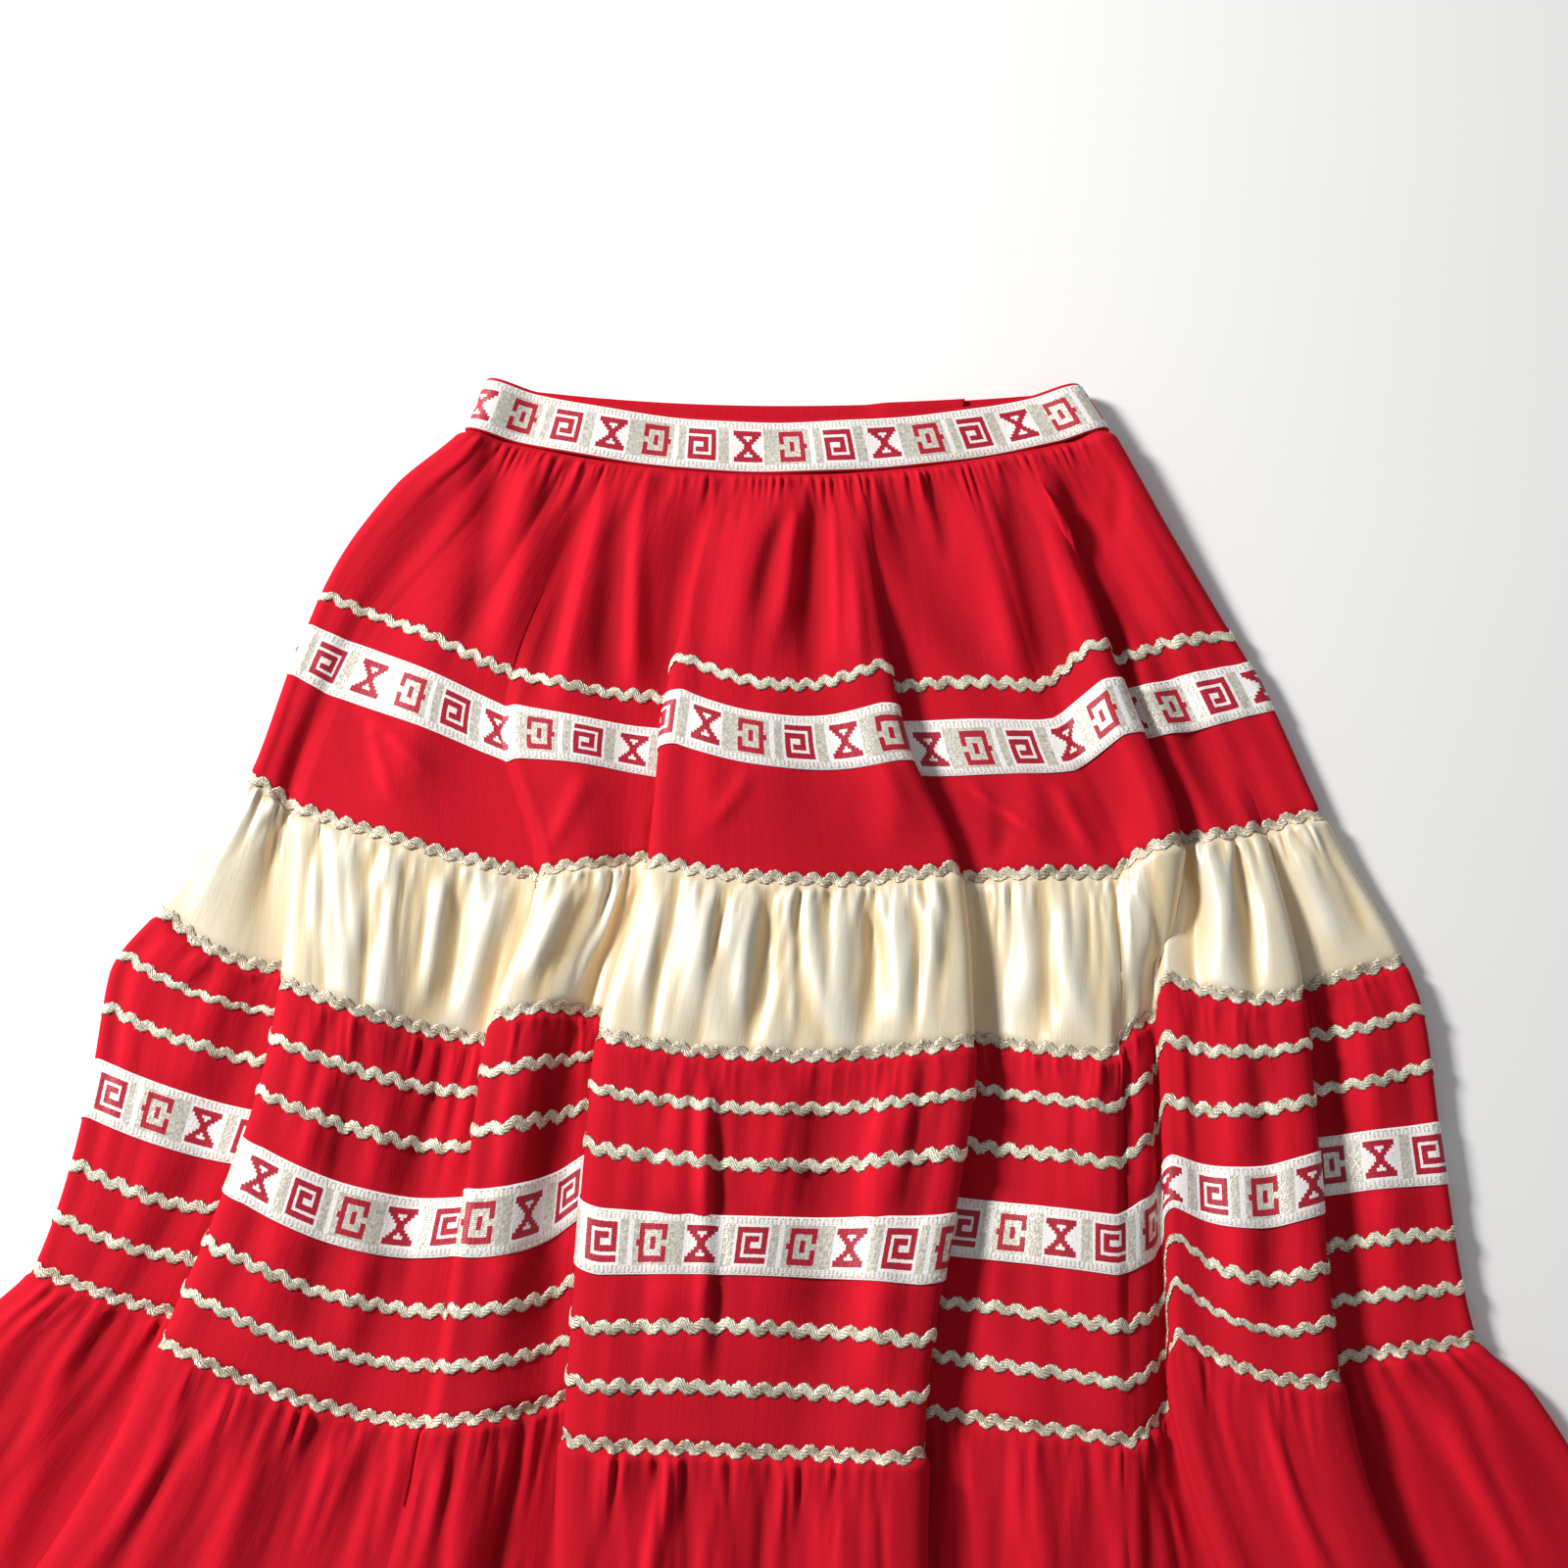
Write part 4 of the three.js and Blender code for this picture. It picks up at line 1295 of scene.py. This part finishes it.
def ribbon_material(name, colours, sizes):
    """Woven ribbon: a white ground with silver blocks, red motifs from the chart, and a dashed
    silver border near each edge, all flecked with painted glints. Its lines are a little ragged,
    as woven ones are."""
    material, tree, shader = new_material(name)
    cloth = cloth_uv(tree)
    width = sizes.ribbon_width
    flecks = use_group(tree, "lurex_flecks", lurex_group, {"Cloth": cloth, "Fleck": 0.001})
    bright = flecks["Bright"]
    wobble = scaled(tree, noise(tree, cloth, 1300.0, 1.0), 0.0005, -0.00025)
    parts = split(tree, cloth)
    along = calc(tree, "ADD", parts[0], wobble)
    across = calc(tree, "ADD", parts[1], wobble)
    share = calc(tree, "FRACT", calc(tree, "DIVIDE", along, sizes.ribbon_repeat))
    from_top = calc(tree, "SUBTRACT", across, (width - sizes.motif_height) / 2)
    row = calc(tree, "DIVIDE", from_top, sizes.motif_height / MOTIF_ROWS)
    chart = use_group(tree, "ribbon_chart", chart_group, {"Share": share, "Row": row})
    motif = chart["Motif"]
    from_middle = calc(tree, "ABSOLUTE", calc(tree, "SUBTRACT", across, width / 2))
    edge = calc(tree, "SUBTRACT", width / 2, from_middle)
    in_border = calc(tree, "COMPARE", edge, 0.0023, 0.0013)
    inside = calc(tree, "GREATER_THAN", edge, 0.0036)
    dash = calc(tree, "GREATER_THAN", calc(tree, "FRACT", calc(tree, "DIVIDE", along, 0.0019)), 0.62)
    blocks = calc(tree, "MULTIPLY", chart["Silver"], inside)
    silver = calc(tree, "MAXIMUM", calc(tree, "MULTIPLY", in_border, dash), blocks)
    metal = calc(tree, "MULTIPLY", silver, calc(tree, "SUBTRACT", 1.0, motif))
    # Painted glints: the silver, the white ground and the red motifs each go from a darker to a lighter copy
    # with the metallic flecks
    metallic = mix_colours(tree, bright, shade(colours.ribbon_silver, 0.6), shade(colours.ribbon_silver, 1.2))
    white = mix_colours(tree, scaled(tree, bright, 0.6, 0.3),
                        shade(colours.ribbon_ground, 0.84), shade(colours.ribbon_ground, 1.05))
    red = mix_colours(tree, bright, shade(colours.ribbon_motif, 0.8), shade(colours.ribbon_motif, 1.25))
    ribs = calc(tree, "SINE", calc(tree, "MULTIPLY", parts[1], 2 * math.pi / 0.0007))
    rough = bump(tree, flecks["Height"], 0.4, 0.0003, bump(tree, ribs, 0.25, 0.00012))
    set_inputs(tree, shader, {
        "Base Color": mix_colours(tree, motif, mix_colours(tree, metal, white, metallic), red),
        "Metallic": calc(tree, "MULTIPLY", metal, 0.35),
        "Roughness": scaled(tree, metal, -0.14, 0.5),
        "Normal": bump(tree, motif, 0.3, 0.0003, rough),
    })
    return material


def thread_material(name, colour):
    """Sewing thread, with a faint twist."""
    material, tree, shader = new_material(name)
    twist = noise(tree, cloth_uv(tree), 3000.0)
    set_inputs(tree, shader, {
        "Base Color": mix_colours(tree, twist, shade(colour, 0.8), shade(colour, 1.1)),
        "Normal": bump(tree, twist, 0.3, 0.0001),
        "Roughness": 0.6,
    })
    return material


def floor_material(name, colour):
    """A pale painted table top, faintly uneven."""
    material, tree, shader = new_material(name)
    where = add_node(tree, "ShaderNodeTexCoord").outputs["Object"]
    brushed = noise(tree, where, 6.0, 3.0)
    base = mix_colours(tree, brushed, shade(colour, 0.985), shade(colour, 1.01))
    set_inputs(tree, shader, {"Base Color": base, "Roughness": 0.55})
    return material


# The stage

TABLE_LEVEL = -0.0005  # the table top lies this far off the skirt, so that they never meet


def aim(thing, target):
    """Turns a light so that its -Z axis points at the target."""
    direction = np.array(target) - np.array(thing.location)
    flat = math.hypot(direction[0], direction[1])
    thing.rotation_euler = (math.atan2(flat, -direction[2]), 0.0, math.atan2(-direction[0], direction[1]))


def area_light(name, location, size, power, colour, target):
    """A square light that shines at the target."""
    data = bpy.data.lights.new(name, "AREA")
    data.size = size
    data.energy = power
    data.color = colour
    light = linked(name, data)
    light.location = location
    aim(light, target)


# Properties, operators and panel

def length_property(name, description, default):
    return bpy.props.FloatProperty(name=name, description=description, default=default,
                                   min=0.0, precision=4, unit="LENGTH")


def colour_property(name, description, default):
    return bpy.props.FloatVectorProperty(name=name, description=description, default=default,
                                         size=3, min=0.0, max=1.0, subtype="COLOR")


class SkirtSizes(bpy.types.PropertyGroup):
    """Sizes of the skirt's cloth and trims, in metres."""

    cloth_thickness: length_property("Cloth thickness", "Thickness of the cotton and the satin", 0.0005)
    ribbon_width: length_property("Ribbon width", "Width of the woven ribbon", 0.0254)
    ribbon_thickness: length_property("Ribbon thickness", "Thickness of the woven ribbon", 0.0005)
    ribbon_repeat: length_property("Ribbon repeat", "Length of the ribbon's three motifs", 0.066)
    motif_height: length_property("Motif height", "Height of the ribbon's motifs", 0.0158)
    rickrack_tall: length_property("Rickrack braid", "Height of the braid itself", 0.0046)
    rickrack_wave: length_property("Rickrack wave", "How far the braid swings up and down", 0.0012)
    rickrack_pitch: length_property("Rickrack pitch", "Length of one wave of the rickrack", 0.009)
    rickrack_thickness: length_property("Rickrack thickness", "Thickness of the braid", 0.0008)
    stitch_pitch: length_property("Stitch pitch", "Distance between stitches", 0.0032)
    stitch_length: length_property("Stitch length", "Length of one stitch", 0.0023)
    thread: length_property("Thread", "Thickness of the sewing thread", 0.0005)


class SkirtColours(bpy.types.PropertyGroup):
    """Colours of the skirt's cloth and trims."""

    cotton: colour_property("Cotton", "The red cotton of three tiers and the waistband", (0.68, 0.009, 0.026))
    satin: colour_property("Satin", "The cream satin of the second tier", (0.98, 0.89, 0.70))
    rickrack: colour_property("Rickrack", "The metallic rickrack", (0.94, 0.85, 0.68))
    seam_rickrack: colour_property("Seam rickrack", "The greyer rickrack on the seams", (0.80, 0.73, 0.58))
    ribbon_ground: colour_property("Ribbon ground", "The white ground of the ribbon", (0.97, 0.92, 0.90))
    ribbon_silver: colour_property("Ribbon silver", "The metallic thread of the ribbon", (0.86, 0.80, 0.70))
    ribbon_motif: colour_property("Ribbon motif", "The red motifs of the ribbon", (0.42, 0.005, 0.026))
    thread: colour_property("Thread", "The sewing thread", (0.78, 0.74, 0.66))
    table: colour_property("Table", "The pale table top", (0.97, 0.97, 0.97))


def material_of(name, build, *args):
    """A material, which is built the first time that it is asked for."""
    return bpy.data.materials.get(name) or build(name, *args)


def dress(piece, node):
    """Lets a piece ride on the skirt in the place of its plain solid."""
    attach(piece, "root")
    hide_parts(node)


class SKIRT_OT_stage(bpy.types.Operator):
    """Adds the table top, the soft studio light and the camera"""

    bl_idname = "skirt.stage"
    bl_label = "Stage"

    def execute(self, context):
        colours = context.scene.skirt_colours
        mesh = bpy.data.meshes.new("table_top")
        corners = [(-3, -3), (3, -3), (3, 3), (-3, 3)]
        mesh.from_pydata([corner + (TABLE_LEVEL,) for corner in corners], [], [(0, 1, 2, 3)])
        mesh.materials.append(floor_material("pale_table", colours.table))
        linked("table_top", mesh)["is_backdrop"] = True
        area_light("window", (-1.5, 0.85, 1.15), 0.4, 60, (1.0, 0.98, 0.95), (0.0, 0.05, 0.0))
        world = bpy.data.worlds.new("studio")
        context.scene.world = world
        world.use_nodes = True
        background = world.node_tree.nodes["Background"]
        background.inputs["Color"].default_value = (0.95, 0.97, 1.0, 1.0)
        background.inputs["Strength"].default_value = 0.27
        data = bpy.data.cameras.new("camera")
        data.lens = 61.1
        data.sensor_width = 36.0
        camera = linked("camera", data)
        camera.location = (0.0175, -0.1895, 1.2074)
        camera.rotation_euler = (math.radians(15), 0.0, 0.0)
        context.scene.camera = camera
        context.scene.view_settings.view_transform = "Standard"
        return {"FINISHED"}


class SKIRT_OT_tiers(bpy.types.Operator):
    """Adds the four gathered tiers"""

    bl_idname = "skirt.tiers"
    bl_label = "Tiers"

    def execute(self, context):
        sizes, colours = context.scene.skirt_sizes, context.scene.skirt_colours
        cotton = material_of("crinkled_cotton", cotton_material, colours.cotton)
        satin = material_of("cream_satin", satin_material, colours.satin)
        for tier in TIERS:
            is_satin = tier["node"] == "tier_2_cream"
            piece = tier_object(tier, sizes.cloth_thickness, satin if is_satin else cotton)
            dress(piece, tier["node"])
        return {"FINISHED"}


class SKIRT_OT_waistband(bpy.types.Operator):
    """Adds the waistband, lapped at the back"""

    bl_idname = "skirt.waistband"
    bl_label = "Waistband"

    def execute(self, context):
        colours = context.scene.skirt_colours
        piece = band_object(material_of("crinkled_cotton", cotton_material, colours.cotton))
        dress(piece, "waistband")
        flat = (band_run().total / 1000, (BAND["foot"] - BAND["top"]) / 1000)
        return {"FINISHED"}


class SKIRT_OT_ribbons(bpy.types.Operator):
    """Adds the woven ribbons of the waistband and of two tiers"""

    bl_idname = "skirt.ribbons"
    bl_label = "Ribbons"

    def execute(self, context):
        sizes, colours = context.scene.skirt_sizes, context.scene.skirt_colours
        woven = material_of("woven_ribbon", ribbon_material, colours, sizes)
        width, thick = sizes.ribbon_width * 1000, sizes.ribbon_thickness * 1000
        for ribbon in RIBBONS:
            piece = ribbon_object(ribbon, width, thick, woven)
            dress(piece, ribbon["node"])
            flat = (tube_run(ribbon["down"]).total / 1000, sizes.ribbon_width)
        piece = band_ribbon_object(width, thick, woven)
        dress(piece, "waist_ribbon")
        band_run().total / 1000
        return {"FINISHED"}


class SKIRT_OT_rickrack(bpy.types.Operator):
    """Adds the rows of rickrack"""

    bl_idname = "skirt.rickrack"
    bl_label = "Rickrack"

    def execute(self, context):
        sizes, colours = context.scene.skirt_sizes, context.scene.skirt_colours
        pale = material_of("pale_rickrack", braid_material, colours.rickrack)
        grey = material_of("seam_rickrack", braid_material, colours.seam_rickrack)
        measures = {"tall": sizes.rickrack_tall * 1000, "wave": sizes.rickrack_wave * 1000,
                    "pitch": sizes.rickrack_pitch * 1000, "thick": sizes.rickrack_thickness * 1000}
        for node, row in RICKRACK.items():
            piece = rickrack_object(node + "_braid", row, measures, grey if "seam" in node else pale)
            dress(piece, node)
        return {"FINISHED"}


class SKIRT_OT_stitching(bpy.types.Operator):
    """Adds the stitches along the ribbons' edges and the hem"""

    bl_idname = "skirt.stitching"
    bl_label = "Stitching"

    def execute(self, context):
        sizes, colours = context.scene.skirt_sizes, context.scene.skirt_colours
        measures = {"pitch": sizes.stitch_pitch * 1000, "length": sizes.stitch_length * 1000,
                    "thread": sizes.thread * 1000}
        pale = thread_material("sewing_thread", colours.thread)
        ribbons = [(tube_run(ribbon["down"]), ribbon["down"], RIBBON_LIFT, surface) for ribbon in RIBBONS]
        ribbons.append((band_run(), BAND["ribbon"], BAND_RIBBON_LIFT, band_surface))
        thick = sizes.ribbon_thickness * 1000
        inset = sizes.ribbon_width * 500 - 1.0
        lines = [stitch_line(run_map, down + edge, lift + thick, on_surface, measures)
                 for run_map, down, lift, on_surface in ribbons for edge in (-inset, inset)]
        piece = stitches_object("ribbon_stitches", lines, pale)
        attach(piece, "root")
        red = thread_material("sewing_thread", shade(colours.cotton, 0.9))
        line = stitch_line(tube_run(HEM_STITCHES), HEM_STITCHES, CLOTH_LIFT, surface, measures)
        piece = stitches_object("hem_stitches", [line], red)
        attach(piece, "root")
        return {"FINISHED"}


OPERATORS = (
    SKIRT_OT_stage,
    SKIRT_OT_tiers,
    SKIRT_OT_waistband,
    SKIRT_OT_ribbons,
    SKIRT_OT_rickrack,
    SKIRT_OT_stitching,
)


class SKIRT_PT_panel(bpy.types.Panel):
    """Sizes, colours and pieces of the skirt"""

    bl_idname = "SKIRT_PT_panel"
    bl_label = "Square dance skirt"
    bl_space_type = "VIEW_3D"
    bl_region_type = "UI"
    bl_category = "Skirt"

    def draw(self, context):
        for group in (context.scene.skirt_sizes, context.scene.skirt_colours):
            column = self.layout.column()
            for name in group.bl_rna.properties.keys():
                if name not in ("rna_type", "name"):
                    column.prop(group, name)
        column = self.layout.column()
        for operator in OPERATORS:
            column.operator(operator.bl_idname)


CLASSES = (SkirtSizes, SkirtColours, *OPERATORS, SKIRT_PT_panel)


def register():
    for cls in CLASSES:
        bpy.utils.register_class(cls)
    bpy.types.Scene.skirt_sizes = bpy.props.PointerProperty(type=SkirtSizes)
    bpy.types.Scene.skirt_colours = bpy.props.PointerProperty(type=SkirtColours)


def unregister():
    del bpy.types.Scene.skirt_colours
    del bpy.types.Scene.skirt_sizes
    for cls in reversed(CLASSES):
        bpy.utils.unregister_class(cls)


def main():
    register()
    bpy.ops.skirt.stage()
    bpy.ops.skirt.tiers()
    bpy.ops.skirt.waistband()
    bpy.ops.skirt.ribbons()
    bpy.ops.skirt.rickrack()
    bpy.ops.skirt.stitching()
    boxes = {"cad": CAD_BOX, "visual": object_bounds()}
    boxes = {name: [[float(v) for v in corner] for corner in box] for name, box in boxes.items()}


if __name__ == "__main__":
    main()
